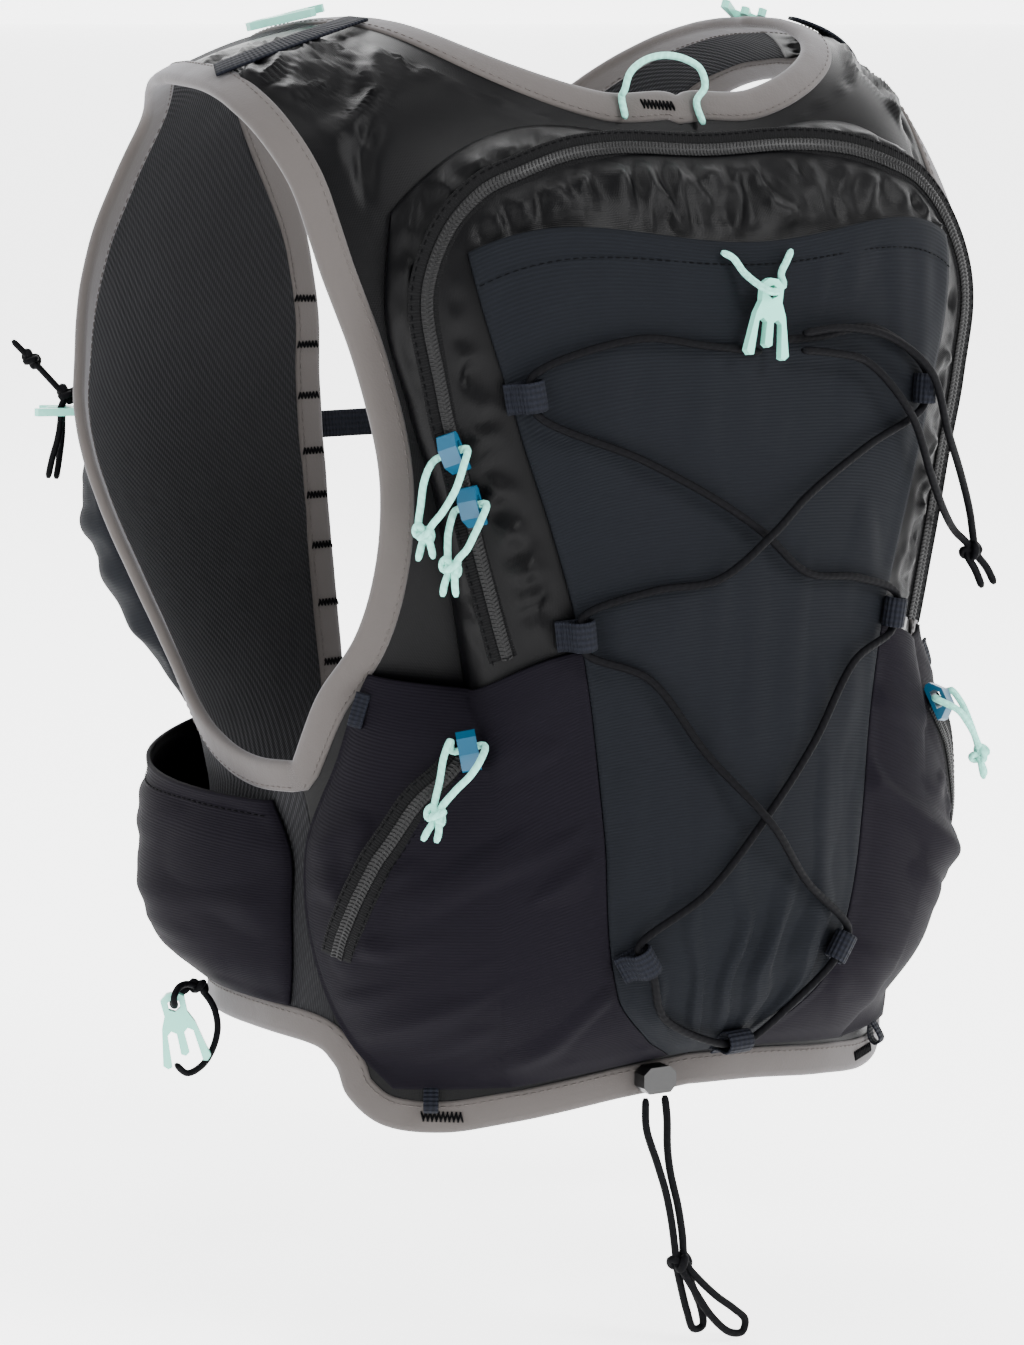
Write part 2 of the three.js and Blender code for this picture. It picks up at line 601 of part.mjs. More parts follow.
// The stretch pocket over the main bag, open at the top
const outerCrown = (s, v) => {
  const across = 1 - (s / pocketEdge(v)) ** 2;
  return OUTER_BULGE * Math.max(0, across) ** 0.8 * Math.sqrt(Math.min(1, v / 0.15));
};
const outerHeight = (s, v) => packHeight(s, v) + LAYER_GAP + outerCrown(s, v) + POCKET_CLOTH;
piece('outer_pocket', sheet(quadsOf(PACK_ROWS.filter((v) => v <= POCKET_TOP_V).map((v) => (
  bothWays(POCKET_COLUMNS).map((t) => {
    const raised = v === POCKET_TOP_V ? v + POCKET_CORNER_RISE * t * t : v;
    const s = t * pocketEdge(v);
    const height = outerHeight(s, raised);
    return packCorner(s, raised, height - POCKET_CLOTH, height);
  })
)))), 'stretch');

// The side pockets: q runs from the edge of the outer pocket to the side seam
const sideSpan = (v) => lookUp(SIDE_SEAM, 'v', 'lon', v) - packWidth(v, 'pocket');
function sidePlace(q, v) {
  const lon = packWidth(v, 'pocket') + q * sideSpan(v);
  return { ...packPlace(lon / packWidth(v, 'half'), v), lon };
}
const SIDE_SEAM_GAP = 0.006;
function sideHeight(q, v) {
  const s = sidePlace(q, v).lon / packWidth(v, 'half');
  const ground = (s < 1 ? packHeight(s, v) : PACK_BASE) + (s < 1.02 ? LAYER_GAP : 0);
  const swell = (packHeight(pocketEdge(v), v) + LAYER_GAP) * Math.max(0, 1 - q ** 3) ** 0.6
    + SIDE_BULGE * Math.sin(Math.PI * Math.min(1, q)) ** 0.8;
  return ground + POCKET_CLOTH + Math.max(0, swell - ground) * lookUp(SIDE_CROWN, 'v', 'share', v);
}
const BEYOND_COLUMNS = [0.34, 0.67, 1];
const sideColumns = (v) => {
  const atPackSeam = (packWidth(v, 'half') - packWidth(v, 'pocket')) / sideSpan(v);
  return [
    SIDE_SEAM_GAP,
    ...FLANK_COLUMNS.map((t) => t * atPackSeam),
    ...BEYOND_COLUMNS.map((t) => mix(atPackSeam, 1, t)),
  ];
};
const sideRows = PACK_ROWS.filter((v) => v <= SIDE_TOP_V).map((v) => sideColumns(v).map((q) => {
  const height = sideHeight(q, v);
  const place = sidePlace(q, v);
  const raised = v === SIDE_TOP_V ? place.lat + SIDE_TOP_RISE * q : place.lat;
  return { lon: place.lon, lat: raised, low: height - POCKET_CLOTH, high: height };
}));

// The pockets on the front, each a table of rows from its outer edge to its inner one
function frontPocketRows(table, bulge, columns) {
  return steps(6).map((v) => {
    const column = (name) => lookUp(table, 'v', name, v);
    return steps(columns).map((t) => {
      const height = FLANGE + POCKET_CLOTH + bulge * column('share') * Math.sin(Math.PI * t) ** 0.7;
      return {
        lon: mix(column('outLon'), column('inLon'), t),
        lat: mix(column('outLat'), column('inLat'), t),
        low: height - POCKET_CLOTH,
        high: height,
      };
    });
  });
}
for (const { side, sign } of SIDES) {
  const placed = (rows) => (sign > 0 ? rows : mirrored(rows));
  piece(`side_pocket_${side}`, sheet(quadsOf(placed(sideRows))), 'pocket');
  const lowerRow = frontPocketRows(FRONT_POCKET, FRONT_BULGE, 9);
  piece(`front_pocket_${side}`, sheet(quadsOf(placed(lowerRow))), 'pocket');
  const flaskRow = frontPocketRows(FLASK_POCKET, FLASK_BULGE, 7);
  piece(`flask_pocket_${side}`, sheet(quadsOf(placed(flaskRow))), 'stretch');
}

// Faces of the bags, as points at a height above them
const onPack = (a, b, height) => {
  const { lon, lat } = packPlace(a, b);
  return onTorso(lon, lat, packHeight(a, b) + height);
};
const onOuter = (a, b, height) => {
  const { lon, lat } = packPlace(a, b);
  return onTorso(lon, lat, outerHeight(a, b) + height);
};
const onSide = (sign) => (a, b, height) => {
  const { lon, lat } = sidePlace(a * sign, b);
  return onTorso(lon * sign, lat, sideHeight(a * sign, b) + height);
};

// Zips: each runs over the face of a bag along a smooth line through its places
const MAIN_ZIP = [
  [0.905, 0.487], [0.93, 0.57], [0.95, 0.66], [0.955, 0.75], [0.948, 0.82], [0.932, 0.885],
  [0.895, 0.92], [0.83, 0.938], [0.72, 0.945], [0.55, 0.962], [0.3, 0.98], [0, 0.985],
];
const SIDE_ZIP = [
  [0.57, 0.425], [0.63, 0.39], [0.679, 0.362], [0.715, 0.291], [0.782, 0.222], [0.86, 0.16],
];
function stationsOn(surface, places, perSpan) {
  const flatPoints = places.map(([a, b]) => new THREE.Vector3(a, b, 0));
  const line = new THREE.CatmullRomCurve3(flatPoints, false, 'centripetal');
  return line.getPoints((places.length - 1) * perSpan).map(({ x, y }) => {
    const matrix = seat(surface, x, y, ZIP_LIFT);
    return { point: origin(matrix), out: outward(matrix) };
  });
}
const mainZipPlaces = [...MAIN_ZIP, ...MAIN_ZIP.slice(0, -1).reverse().map(([a, b]) => [-a, b])];
piece('main_zip', strip(stationsOn(onPack, mainZipPlaces, 2), ZIP_WIDTH, ZIP_THICK), 'zip');

// Sliders, with an eye that the pull's cord goes through, and the pulls knotted below them
const SLIDER_SIDE = [[-7, 0], [6, 0], [7.5, 1.2], [7.5, 3], [3.4, 6.6], [-3, 6.6], [-7, 1.6]];
const SLIDER_EYE = [[-3, 1.5], [-3, 5], [2.6, 5], [4.2, 3.6], [4.2, 1.5]];
const SLIDER_EYE_MIDDLE = [0.6, 0, 3.25];
function slider(name, matrix) {
  const body = standing(plate(SLIDER_SIDE, [SLIDER_EYE], SLIDER_WIDTH), SLIDER_WIDTH);
  piece(name, body.applyMatrix4(matrix), 'slider');
}
const ball = (center, radius) => {
  const round = new THREE.SphereGeometry(radius, 8, 5).scale(1, 1, 1.15);
  return solid(round.translate(center.x, center.y, center.z));
};
function pull(name, matrix, strands, knot, tails, sign) {
  const eye = new THREE.Vector3(...SLIDER_EYE_MIDDLE).applyMatrix4(matrix);
  const across = new THREE.Vector3().setFromMatrixColumn(matrix, 1);
  const reach = sign * (SLIDER_WIDTH / 2 + PULL_CORD / 2 + 1);
  const through = [1, 0, -1].map((t) => eye.clone().addScaledVector(across, t * reach));
  const [first, second] = strands.map((list) => offsets(eye, list, sign));
  const loop = [...first.reverse(), ...through, ...second];
  const ends = tails.map((list) => solid(cord(offsets(eye, list, sign), PULL_CORD, 1)));
  const middle = ball(offsets(eye, [knot], sign)[0], PULL_KNOT / 2);
  piece(name, joined(middle, solid(cord(loop, PULL_CORD, 1)), ...ends), 'mint');
}
const MAIN_SLIDERS = [
  { name: 'upper', a: 0.958, b: 0.722, turn: 8 },
  { name: 'lower', a: 0.943, b: 0.66, turn: 8 },
];
const MAIN_PULLS = {
  upper: {
    strands: [
      [[6, -4.5, -4], [9.5, -3.5, -10], [10.5, -4, -18], [10.5, -5.5, -26]],
      [[0.4, 8, -4], [3.5, 7.8, -12], [6.5, 4, -20], [8.5, -1, -26]],
    ],
    knot: [9.5, -3.5, -28],
    tails: [[[9, -5, -29], [9.5, -6, -34], [10, -7, -38]], [[8.5, -2, -29], [7, -2.5, -34], [6, -3, -37]]],
  },
  lower: {
    strands: [
      [[5, -4, -3], [7.5, -3, -9], [9, -1, -14], [9.5, 0, -18]],
      [[0.4, 7.4, -4], [3.5, 7.8, -9], [6, 7, -14], [8, 4, -18]],
    ],
    knot: [9, 1.5, -20.5],
    tails: [[[9.5, 0.5, -22], [11, 0, -27], [11.5, -0.5, -31]], [[8.5, 3, -22], [8.5, 3, -27], [8, 3, -31]]],
  },
};
for (const { name, a, b, turn } of MAIN_SLIDERS) {
  const matrix = seat(onPack, a, b, SLIDER_LIFT, turn);
  slider(`main_slider_${name}`, matrix);
  const { strands, knot, tails } = MAIN_PULLS[name];
  pull(`main_pull_${name}`, matrix, strands, knot, tails, 1);
}
const SIDE_SLIDER = { a: 0.575, b: 0.42, turn: 20 };
const SIDE_PULL = {
  strands: [
    [[6, -2, 3], [10, 0, -2], [13, 2, -10], [16, 3, -19]],
    [[0.9, 9.7, -3], [5.3, 10, -8], [10, 8, -13], [15, 5.5, -20]],
  ],
  knot: [16, 4.5, -22],
  tails: [
    [[16.5, 3.5, -24], [19, 3, -28], [20.5, 2.5, -31]],
    [[15.5, 5.5, -24], [16, 6, -28], [17, 6, -31.5]],
  ],
};
for (const { side, sign } of SIDES) {
  const surface = onSide(sign);
  const places = SIDE_ZIP.map(([a, b]) => [a * sign, b]);
  piece(`side_zip_${side}`, strip(stationsOn(surface, places, 2), ZIP_WIDTH, ZIP_THICK), 'zip');
  const { a, b, turn } = SIDE_SLIDER;
  const matrix = seat(surface, a * sign, b, SLIDER_LIFT, turn * sign);
  slider(`side_slider_${side}`, matrix);
  pull(`side_pull_${side}`, matrix, SIDE_PULL.strands, SIDE_PULL.knot, SIDE_PULL.tails, sign);
}

// Lace tabs round the outer pocket, each a fold of webbing with a way through for the lace
const TAB_FOLD = [
  [-10, 0], [0, 0], [3, 1.1], [4.2, 4.1], [3, 7.1], [0, 8.2], [-3, 7.2], [-5.4, 3.4], [-10, 1.5],
];
const TAB_WAY = 4.1;
const LACE_TABS = [
  { name: 'upper_left', a: 0.79, b: 0.725, turn: -90 },
  { name: 'middle_left', a: 0.7, b: 0.478, turn: -90 },
  { name: 'lower_left', a: 0.55, b: 0.13, turn: -60 },
  { name: 'bottom', a: -0.1, b: 0.025, turn: 0 },
  { name: 'lower_right', a: -0.574, b: 0.118, turn: 60 },
  { name: 'middle_right', a: -0.7, b: 0.474, turn: 90 },
  { name: 'upper_right', a: -0.74, b: 0.7, turn: 90 },
];
const tabFrames = {};
for (const { name, a, b, turn } of LACE_TABS) {
  tabFrames[name] = seat(onOuter, a, b, TAB_LIFT, turn);
  const fold = standing(plate(TAB_FOLD, [ring(0, TAB_WAY, 2.9, 6)], TAB_WIDTH), TAB_WIDTH);
  piece(`lace_tab_${name}`, fold.applyMatrix4(tabFrames[name]), 'webbing');
}

// The lace, from the hook over the pocket through each tab in turn and back to the hook
const LOW = 3;
const HIGH = 7;
const LACE = [
  { a: 0.02, b: 0.745, height: LOW },
  { a: 0.25, b: 0.755, height: LOW },
  { a: 0.5, b: 0.765, height: LOW },
  { tab: 'upper_left', way: 1 },
  { a: 0.5, b: 0.63, height: LOW },
  { a: 0.22, b: 0.585, height: LOW },
  { a: 0, b: 0.55, height: LOW },
  { a: -0.22, b: 0.51, height: LOW },
  { a: -0.48, b: 0.503, height: LOW },
  { tab: 'middle_right', way: -1 },
  { a: -0.52, b: 0.419, height: LOW },
  { a: -0.3, b: 0.335, height: LOW },
  { a: 0, b: 0.26, height: LOW },
  { a: 0.3, b: 0.19, height: LOW },
  { tab: 'lower_left', way: 1 },
  { a: 0.42, b: 0.06, height: LOW },
  { tab: 'bottom', way: 1 },
  { a: -0.42, b: 0.06, height: LOW },
  { tab: 'lower_right', way: 1 },
  { a: -0.3, b: 0.19, height: LOW },
  { a: 0, b: 0.26, height: HIGH },
  { a: 0.3, b: 0.335, height: LOW },
  { a: 0.52, b: 0.421, height: LOW },
  { tab: 'middle_left', way: -1 },
  { a: 0.48, b: 0.506, height: LOW },
  { a: 0.22, b: 0.51, height: LOW },
  { a: 0, b: 0.55, height: HIGH },
  { a: -0.22, b: 0.585, height: LOW },
  { a: -0.5, b: 0.63, height: LOW },
  { tab: 'upper_right', way: 1 },
  { a: -0.5, b: 0.765, height: LOW },
  { a: -0.25, b: 0.76, height: LOW },
  { a: -0.07, b: 0.76, height: LOW },
];
const laceRoute = LACE.flatMap(({ a, b, height, tab, way }) => {
  if (!tab) return [onOuter(a, b, height)];
  const reach = TAB_WIDTH / 2 + 1;
  return inFrame(tabFrames[tab], [1, 0, -1].map((t) => [0, t * way * reach, TAB_WAY]));
});
piece('lace_cord', cord(laceRoute, CORD, 2), 'cord');

// The lace's two tails, which leave the hook to the right and hang knotted together past the bag
const TAILS = [
  {
    lying: [
      [-0.146, 0.745, 6.8], [-0.285, 0.738, 6.8], [-0.455, 0.722, 6.8],
      [-0.65, 0.668, 8.4], [-0.812, 0.624, 6],
    ],
    hanging: [[-103, -23, -71], [-114, -31, -79], [-123.2, -34, -86]],
    end: [[-122.6, -34, -89], [-126.5, -34, -95], [-130, -34, -102]],
  },
  {
    lying: [
      [-0.15, 0.768, 6.8], [-0.327, 0.77, 6.8], [-0.536, 0.754, 8], [-0.7, 0.72, 11.6], [-0.842, 0.677, 9],
    ],
    hanging: [[-110, -23, -56], [-121, -31, -72], [-126, -34, -86]],
    end: [[-127, -34, -89], [-132, -34, -94.5], [-136, -34, -101]],
  },
];
const TAIL_KNOT = [-124.6, -34, -87.4];
const laceAnchor = onOuter(0, 0.76, 0);
piece('lace_tail', joined(
  ball(offsets(laceAnchor, [TAIL_KNOT])[0], KNOT / 2),
  ...TAILS.flatMap(({ lying, hanging, end }) => {
    const route = [...lying.map(([a, b, height]) => onOuter(a, b, height)), ...offsets(laceAnchor, hanging)];
    return [solid(cord(route, CORD, 2)), solid(cord(offsets(laceAnchor, end), CORD, 1))];
  }),
), 'cord');

// Hooks: a flat A with an eye at the top and a tongue between its legs
const HOOK_EYE = 2.6;
const HOOK = [
  [4.8, 1.8], [2.6, 4.6], [-3.5, 4.4], [-8, 6.4], [-22, 9.2], [-23.6, 7.6], [-23.2, 6],
  [-11, 5], [-9.6, 3.2], [-11, 1.4], [-19, 1.6], [-20, 0],
];
const hookOutline = [...HOOK, ...HOOK.slice(0, -1).reverse().map(([x, y]) => [x, -y])];
const hookShape = () => plate(hookOutline, [ring(0, 0, HOOK_EYE, 6)], HOOK_THICK);
function frame(position, along, out) {
  const x = new THREE.Vector3(...along).normalize();
  const z = new THREE.Vector3(...out).addScaledVector(x, -x.dot(new THREE.Vector3(...out))).normalize();
  return new THREE.Matrix4().makeBasis(x, new THREE.Vector3().crossVectors(z, x), z).setPosition(position);
}

// The lace hook and the cord that it hangs on, tied to the pocket's top edge at both ends
const LACE_HOOK = { a: -0.005, b: 0.822, height: 5.2, turn: -10 };
const HOOK_CORD = [
  [0.158, 0.868, 2.2], [0.12, 0.862, 3], [0.085, 0.845, 4], [0.05, 0.828, 9.6], [0.022, 0.823, 10.8],
];
const hookFrame = seat(onOuter, LACE_HOOK.a, LACE_HOOK.b, LACE_HOOK.height, LACE_HOOK.turn);
piece('lace_hook', hookShape().applyMatrix4(hookFrame), 'mint');
const HOOK_CORD_END = [[-0.075, 0.842, 4], [-0.11, 0.856, 3], [-0.143, 0.868, 2.2]];
const hookCordRoute = [
  ...HOOK_CORD.map(([a, b, height]) => onOuter(a, b, height)),
  ...inFrame(hookFrame, [[0, 0, 5.2], [0, 0, 1.4], [0.3, -0.5, -1.7], [1.5, -4, -2.2], [3.5, -7, -1]]),
  ...HOOK_CORD_END.map(([a, b, height]) => onOuter(a, b, height)),
];
piece('hook_cord', cord(hookCordRoute, PULL_CORD, 1), 'mint');

// The drawcord of the back hem: its lock, two strands, a knot and two loops
const LOCK = { lon: 14.5, lat: -98.4, height: CLOTH + BINDING_OUTSIDE + 0.6 };
const LOCK_FACE = [[5, -4], [5, 4], [2.5, 7], [-2.5, 7], [-5, 4.5], [-5, -4.5], [-2.5, -7], [2.5, -7]];
const LOCK_THICK = 7;
const lockFrame = seat(onTorso, LOCK.lon, LOCK.lat, LOCK.height);
piece('drawcord_lock', plate(LOCK_FACE, [], LOCK_THICK).applyMatrix4(lockFrame), 'webbing');
const DRAW_STRANDS = [
  [
    [4.4, 0, -7], [5, 1.5, -18], [0.5, 2, -31.6], [-3.5, 2, -43.4], [-6.2, 2, -55],
    [-7.6, 2, -64], [-8.4, 2, -70],
  ],
  [
    [-4.2, 0, -7], [-4.3, 1.5, -15.4], [-4.2, 2, -26.6], [-5.2, 2.5, -36], [-8.8, 2.6, -50],
    [-10.8, 2.6, -61.4], [-11.8, 2.4, -70],
  ],
];
const DRAW_KNOT = [-10, 2.3, -71];
const DRAW_LOOPS = [
  [
    [-9.3, 1, -73], [-11.4, 0.5, -80.5], [-14.8, 0, -91.6], [-18, 0, -99.4], [-22.1, 0, -98.9],
    [-21.6, 0, -92.7], [-16.6, 0.5, -81.4], [-13, 1, -73],
  ],
  [
    [-12, 4.4, -73], [-16.6, 5.2, -78.6], [-24.7, 5.6, -86.4], [-32.9, 5.6, -92.7], [-37.9, 5.6, -97.7],
    [-36.6, 5.6, -102.1], [-31.1, 5.6, -101.5], [-22.9, 5.6, -94.5], [-14.7, 5.2, -82.7], [-9, 4.4, -73],
  ],
];
const lockMiddle = origin(lockFrame).addScaledVector(outward(lockFrame), LOCK_THICK / 2);
piece('drawcord', joined(
  ball(offsets(lockMiddle, [DRAW_KNOT])[0], KNOT / 2),
  ...[...DRAW_STRANDS, ...DRAW_LOOPS].map((list) => solid(cord(offsets(lockMiddle, list), CORD, 1))),
), 'cord');

// The loop at the back of the neck, to hang the vest by
const HANG_FEET = [
  { lon: 17, lat: 47.9 },
  { lon: 17, lat: 51.5 },
  { lon: -3.4, lat: 51.5 },
  { lon: -3.4, lat: 47.9 },
];
const HANG_ARCH = [
  [26.5, 6, 3.3], [23.5, 5.5, 10], [16.2, 5, 14.6], [7.6, 5, 16],
  [-1.1, 5, 14.5], [-7.3, 5.5, 10.9], [-9, 6, 4.5],
];
const HANG_LIFT = CLOTH + BINDING_OUTSIDE + PULL_CORD / 2 + 1;
const hangFeet = HANG_FEET.map(({ lon, lat }) => onTorso(lon, lat, HANG_LIFT));
const hangArch = offsets(onTorso(0, 53, 1), HANG_ARCH);
piece('hang_loop', cord([...hangFeet.slice(0, 2), ...hangArch, ...hangFeet.slice(2)], PULL_CORD, 1), 'mint');

// Pole holders: a hook hung on a ring of cord under each front pocket, with a longer loop through it
const POLE_HOOK = { at: [27, 17, 1], along: [0.2, -0.1, 1], out: [0.5, 0.85, 0.1] };
const POLE_RING = [
  [16.2, 16.5, 6.1], [21.1, 17.5, 8], [27.1, 21, 8], [30.1, 23, 5], [28.6, 21, 1.4],
  [25.6, 13.5, 0.8], [22.1, 12, 3], [18.6, 14, 5.5],
];
const POLE_KNOT = [15.6, 16, 6.2];
const POLE_LOOP = [
  [14.6, 15.4, 5.2], [12.1, 19, 0.2], [11.1, 21, -4.4], [11.1, 22, -9.9], [13.1, 22, -16.7],
  [17.1, 21, -23], [22.8, 19.5, -25.9], [28.1, 20, -21.6],
];
const BAG_KNOT = 4.4;
const FLASK_HOOK = { at: [-7, -15.5, -1.5], along: [-0.84, 0.54, 0], out: [0, 0, 1] };
const FLASK_STRANDS = [
  [[19.4, -35.1, 27], [16.5, -32.7, 23.2], [14, -30.6, 20]],
  [[13.6, -30.2, 19.5], [9.7, -27, 14.2], [5.6, -23.4, 8.4], [3.6, -21.6, 7]],
  [
    [4.6, -20.6, 6], [6.7, -20.1, 1], [6.7, -20.1, -3],
    [8, -20, -10], [10, -21.2, -18], [11.5, -22.2, -25.8],
  ],
  [
    [2.4, -23.4, 6], [2.9, -26.2, 1], [2.9, -26.2, -3],
    [3.4, -25.8, -10], [5.2, -24.6, -18], [7, -24.2, -26.6],
  ],
  [[2.6, -20.6, 6.6], [0.5, -18, 8.6], [-0.5, -12, 9.4], [1, -5.5, 9.5]],
];
const FLASK_KNOTS = [[13.8, -30.5, 19.8], [3.3, -21.8, 6.4]];
for (const { side, sign } of SIDES) {
  const poleAnchor = onTorso(104 * sign, -90, 3);
  const [poleHook, poleKnot] = offsets(poleAnchor, [POLE_HOOK.at, POLE_KNOT], sign);
  const mirror = ([x, y, z]) => [x * sign, y, z];
  const poleFrame = frame(poleHook, mirror(POLE_HOOK.along), mirror(POLE_HOOK.out));
  piece(`pole_hook_${side}`, hookShape().applyMatrix4(poleFrame), 'mint');
  piece(`pole_cord_${side}`, joined(
    ball(poleKnot, BAG_KNOT),
    solid(cord(offsets(poleAnchor, POLE_RING, sign), PULL_CORD, 1)),
    solid(cord(offsets(poleAnchor, POLE_LOOP, sign), PULL_CORD, 1)),
  ), 'cord');
  const flaskAnchor = onTorso(120 * sign, -6, 0);
  const [flaskHook] = offsets(flaskAnchor, [FLASK_HOOK.at], sign);
  const flaskFrame = frame(flaskHook, mirror(FLASK_HOOK.along), FLASK_HOOK.out);
  piece(`flask_hook_${side}`, hookShape().applyMatrix4(flaskFrame), 'mint');
  piece(`flask_cord_${side}`, joined(
    ...FLASK_KNOTS.map((at) => ball(offsets(flaskAnchor, [at], sign)[0], KNOT / 2)),
    ...FLASK_STRANDS.map((list) => solid(cord(offsets(flaskAnchor, list, sign), PULL_CORD, 1))),
  ), 'cord');
}

// Straps: one across the chest with its hook, and one over each shoulder with a hook at its front
const STRAP_LIFT = CLOTH + BINDING_OUTSIDE + 0.8;
const CHEST_LAT = -11;
const CHEST_STRAP = [161, 164, 167.5, 171, 175, 179, 183].map((lon) => [lon, CHEST_LAT]);
const SHOULDER_STRAP = [[84, 38.4], [81, 41.5], [78.5, 45.5], [77, 50], [77, 54.5]];
const strapOn = (path, lift) => strip(path.map(([lon, lat]) => {
  const matrix = seat(onTorso, lon, lat, lift);
  return { point: origin(matrix), out: outward(matrix) };
}), STRAP.width, STRAP.thick);
piece('sternum_strap', strapOn(CHEST_STRAP, STRAP_LIFT), 'webbing');
const sternumFrame = seat(onTorso, 182, CHEST_LAT, STRAP_LIFT + STRAP.thick + 0.6, -90);
piece('sternum_hook', hookShape().applyMatrix4(sternumFrame), 'mint');
const SHOULDER_HOOK = { lon: 103, lat: 50, turn: 150 };
for (const { side, sign } of SIDES) {
  const path = SHOULDER_STRAP.map(([lon, lat]) => [lon * sign, lat]);
  piece(`shoulder_strap_${side}`, strapOn(path, STRAP_LIFT), 'webbing');
  const { lon, lat, turn } = SHOULDER_HOOK;
  const matrix = seat(onTorso, lon * sign, lat, STRAP_LIFT, turn * sign);
  piece(`shoulder_hook_${side}`, hookShape().applyMatrix4(matrix), 'mint');
}

export default vest;
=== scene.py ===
"""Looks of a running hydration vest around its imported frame. All cloth lies on one map of the torso.
lon is degrees from the spine to the wearer's left and lat degrees above the chest line, in mm until made."""
import math
import bpy
import numpy as np
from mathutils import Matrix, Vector


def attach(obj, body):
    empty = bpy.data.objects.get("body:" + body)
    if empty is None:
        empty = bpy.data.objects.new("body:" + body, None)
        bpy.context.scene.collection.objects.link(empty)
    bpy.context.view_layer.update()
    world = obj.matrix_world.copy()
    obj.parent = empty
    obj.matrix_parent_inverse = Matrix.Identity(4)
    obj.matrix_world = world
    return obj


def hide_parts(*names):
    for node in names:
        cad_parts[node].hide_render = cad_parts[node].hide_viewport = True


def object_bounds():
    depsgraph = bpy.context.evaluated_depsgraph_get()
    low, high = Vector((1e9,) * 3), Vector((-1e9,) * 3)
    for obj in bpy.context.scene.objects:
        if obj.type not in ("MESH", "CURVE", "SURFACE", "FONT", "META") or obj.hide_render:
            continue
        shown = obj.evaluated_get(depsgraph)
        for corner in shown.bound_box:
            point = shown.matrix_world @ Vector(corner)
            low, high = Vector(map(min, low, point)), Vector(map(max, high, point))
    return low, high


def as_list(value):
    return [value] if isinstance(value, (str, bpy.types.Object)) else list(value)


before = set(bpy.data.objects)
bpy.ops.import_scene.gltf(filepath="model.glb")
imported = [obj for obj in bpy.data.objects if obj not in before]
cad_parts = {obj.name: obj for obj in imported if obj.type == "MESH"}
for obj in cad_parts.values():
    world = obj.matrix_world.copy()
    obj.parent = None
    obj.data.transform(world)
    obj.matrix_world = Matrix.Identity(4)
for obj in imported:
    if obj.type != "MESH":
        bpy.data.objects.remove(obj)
cad_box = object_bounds()
MM, pi = 0.001, math.pi
to_scene = bpy.context.scene.collection.objects.link

# The torso map
HALF_WIDTH, BACK_DEPTH, FRONT_DEPTH, CHEST_LINE, RISE = 186, 97, 132, -130, 136
BODY_DROP, WAIST_DROP, WAIST_WIDE, WAIST_BACK, WAIST_FRONT = 260, 164, 0.71, 0.92, 0.83
CLOTH, POCKET_CLOTH, LAYER_GAP = 2.4, 1.6, 0.7
# a shallow tuck at the right shoulder: its depth as a share, its middle and its reach in degrees
TUCK, TUCK_LON, TUCK_REACH = 0.24, -86, 50


def smooth(t):
    c = np.clip(t, 0, 1)
    return c * c * (3 - 2 * c)


def mix(a, b, t):
    return a + (b - a) * t


def torso(lon, lat):
    lon, lat = np.broadcast_arrays(np.asarray(lon, float), np.asarray(lat, float))
    sin, cos = np.sin(np.radians(lon)), np.cos(np.radians(lon))
    depth = np.where(cos >= 0, BACK_DEPTH, FRONT_DEPTH)
    reach = (np.abs(sin / HALF_WIDTH) ** 2.4 + np.abs(cos / depth) ** 2.4) ** (-1 / 2.4)
    x, y = sin * reach, cos * reach
    drop = np.maximum(-lat, 0) * BODY_DROP / 100
    waist = smooth(drop / WAIST_DROP)
    below = np.stack([x * mix(1, WAIST_WIDE, waist),
                      y * mix(1, np.where(y > 0, WAIST_BACK, WAIST_FRONT), waist), CHEST_LINE - drop], -1)
    phi = np.radians(np.clip(lat, 0, 90))
    dome = ((np.cos(phi) / reach) ** 3 + (np.sin(phi) / RISE) ** 3) ** (-1 / 3)
    up = np.sin(phi) * dome
    inward = np.cos(phi) * dome / reach
    tuck = TUCK * smooth(1 - np.abs(lon - TUCK_LON) / TUCK_REACH)
    flare = 1 + 0.1 * smooth(up / RISE) - tuck * smooth((lat - 8) / 24) * smooth((66 - lat) / 34)
    above = np.stack([x * inward * flare, y * inward, CHEST_LINE + up], -1)
    return np.where((lat < 0)[..., None], below, above)


def unit(v):
    return v / np.maximum(np.linalg.norm(v, axis=-1, keepdims=True), 1e-12)


def axes(lon, lat):
    east = torso(lon + 0.5, lat) - torso(lon - 0.5, lat)
    north = torso(lon, lat + 0.5) - torso(lon, lat - 0.5)
    return east, north, unit(np.cross(north, east))


def on_torso(lon, lat, height):
    lon, lat, height = np.broadcast_arrays(*[np.asarray(a, float) for a in (lon, lat, height)])
    return torso(lon, lat) + axes(lon, lat)[2] * height[..., None]


def look(keys, values, at):
    keys, values, at = np.asarray(keys, float), np.asarray(values, float), np.asarray(at, float)
    i = np.clip(np.searchsorted(keys, at, side="left") - 1, 0, len(keys) - 2)
    h, j = np.maximum(i - 1, 0), np.minimum(i + 2, len(keys) - 1)
    span = keys[i + 1] - keys[i]
    t = np.clip((at - keys[i]) / span, 0, 1)
    start = (values[i + 1] - values[h]) / (keys[i + 1] - keys[h])
    end = (values[j] - values[i]) / (keys[j] - keys[i])
    return ((2 * t**3 - 3 * t**2 + 1) * values[i] + (t**3 - 2 * t**2 + t) * span * start
            + (3 * t**2 - 2 * t**3) * values[i + 1] + (t**3 - t**2) * span * end)


def trace(rows, t):
    rows = np.asarray(rows, float)
    at = np.asarray(t, float) * (len(rows) - 1)
    return np.stack([look(range(len(rows)), rows[:, c], at) for c in range(rows.shape[1])], -1)


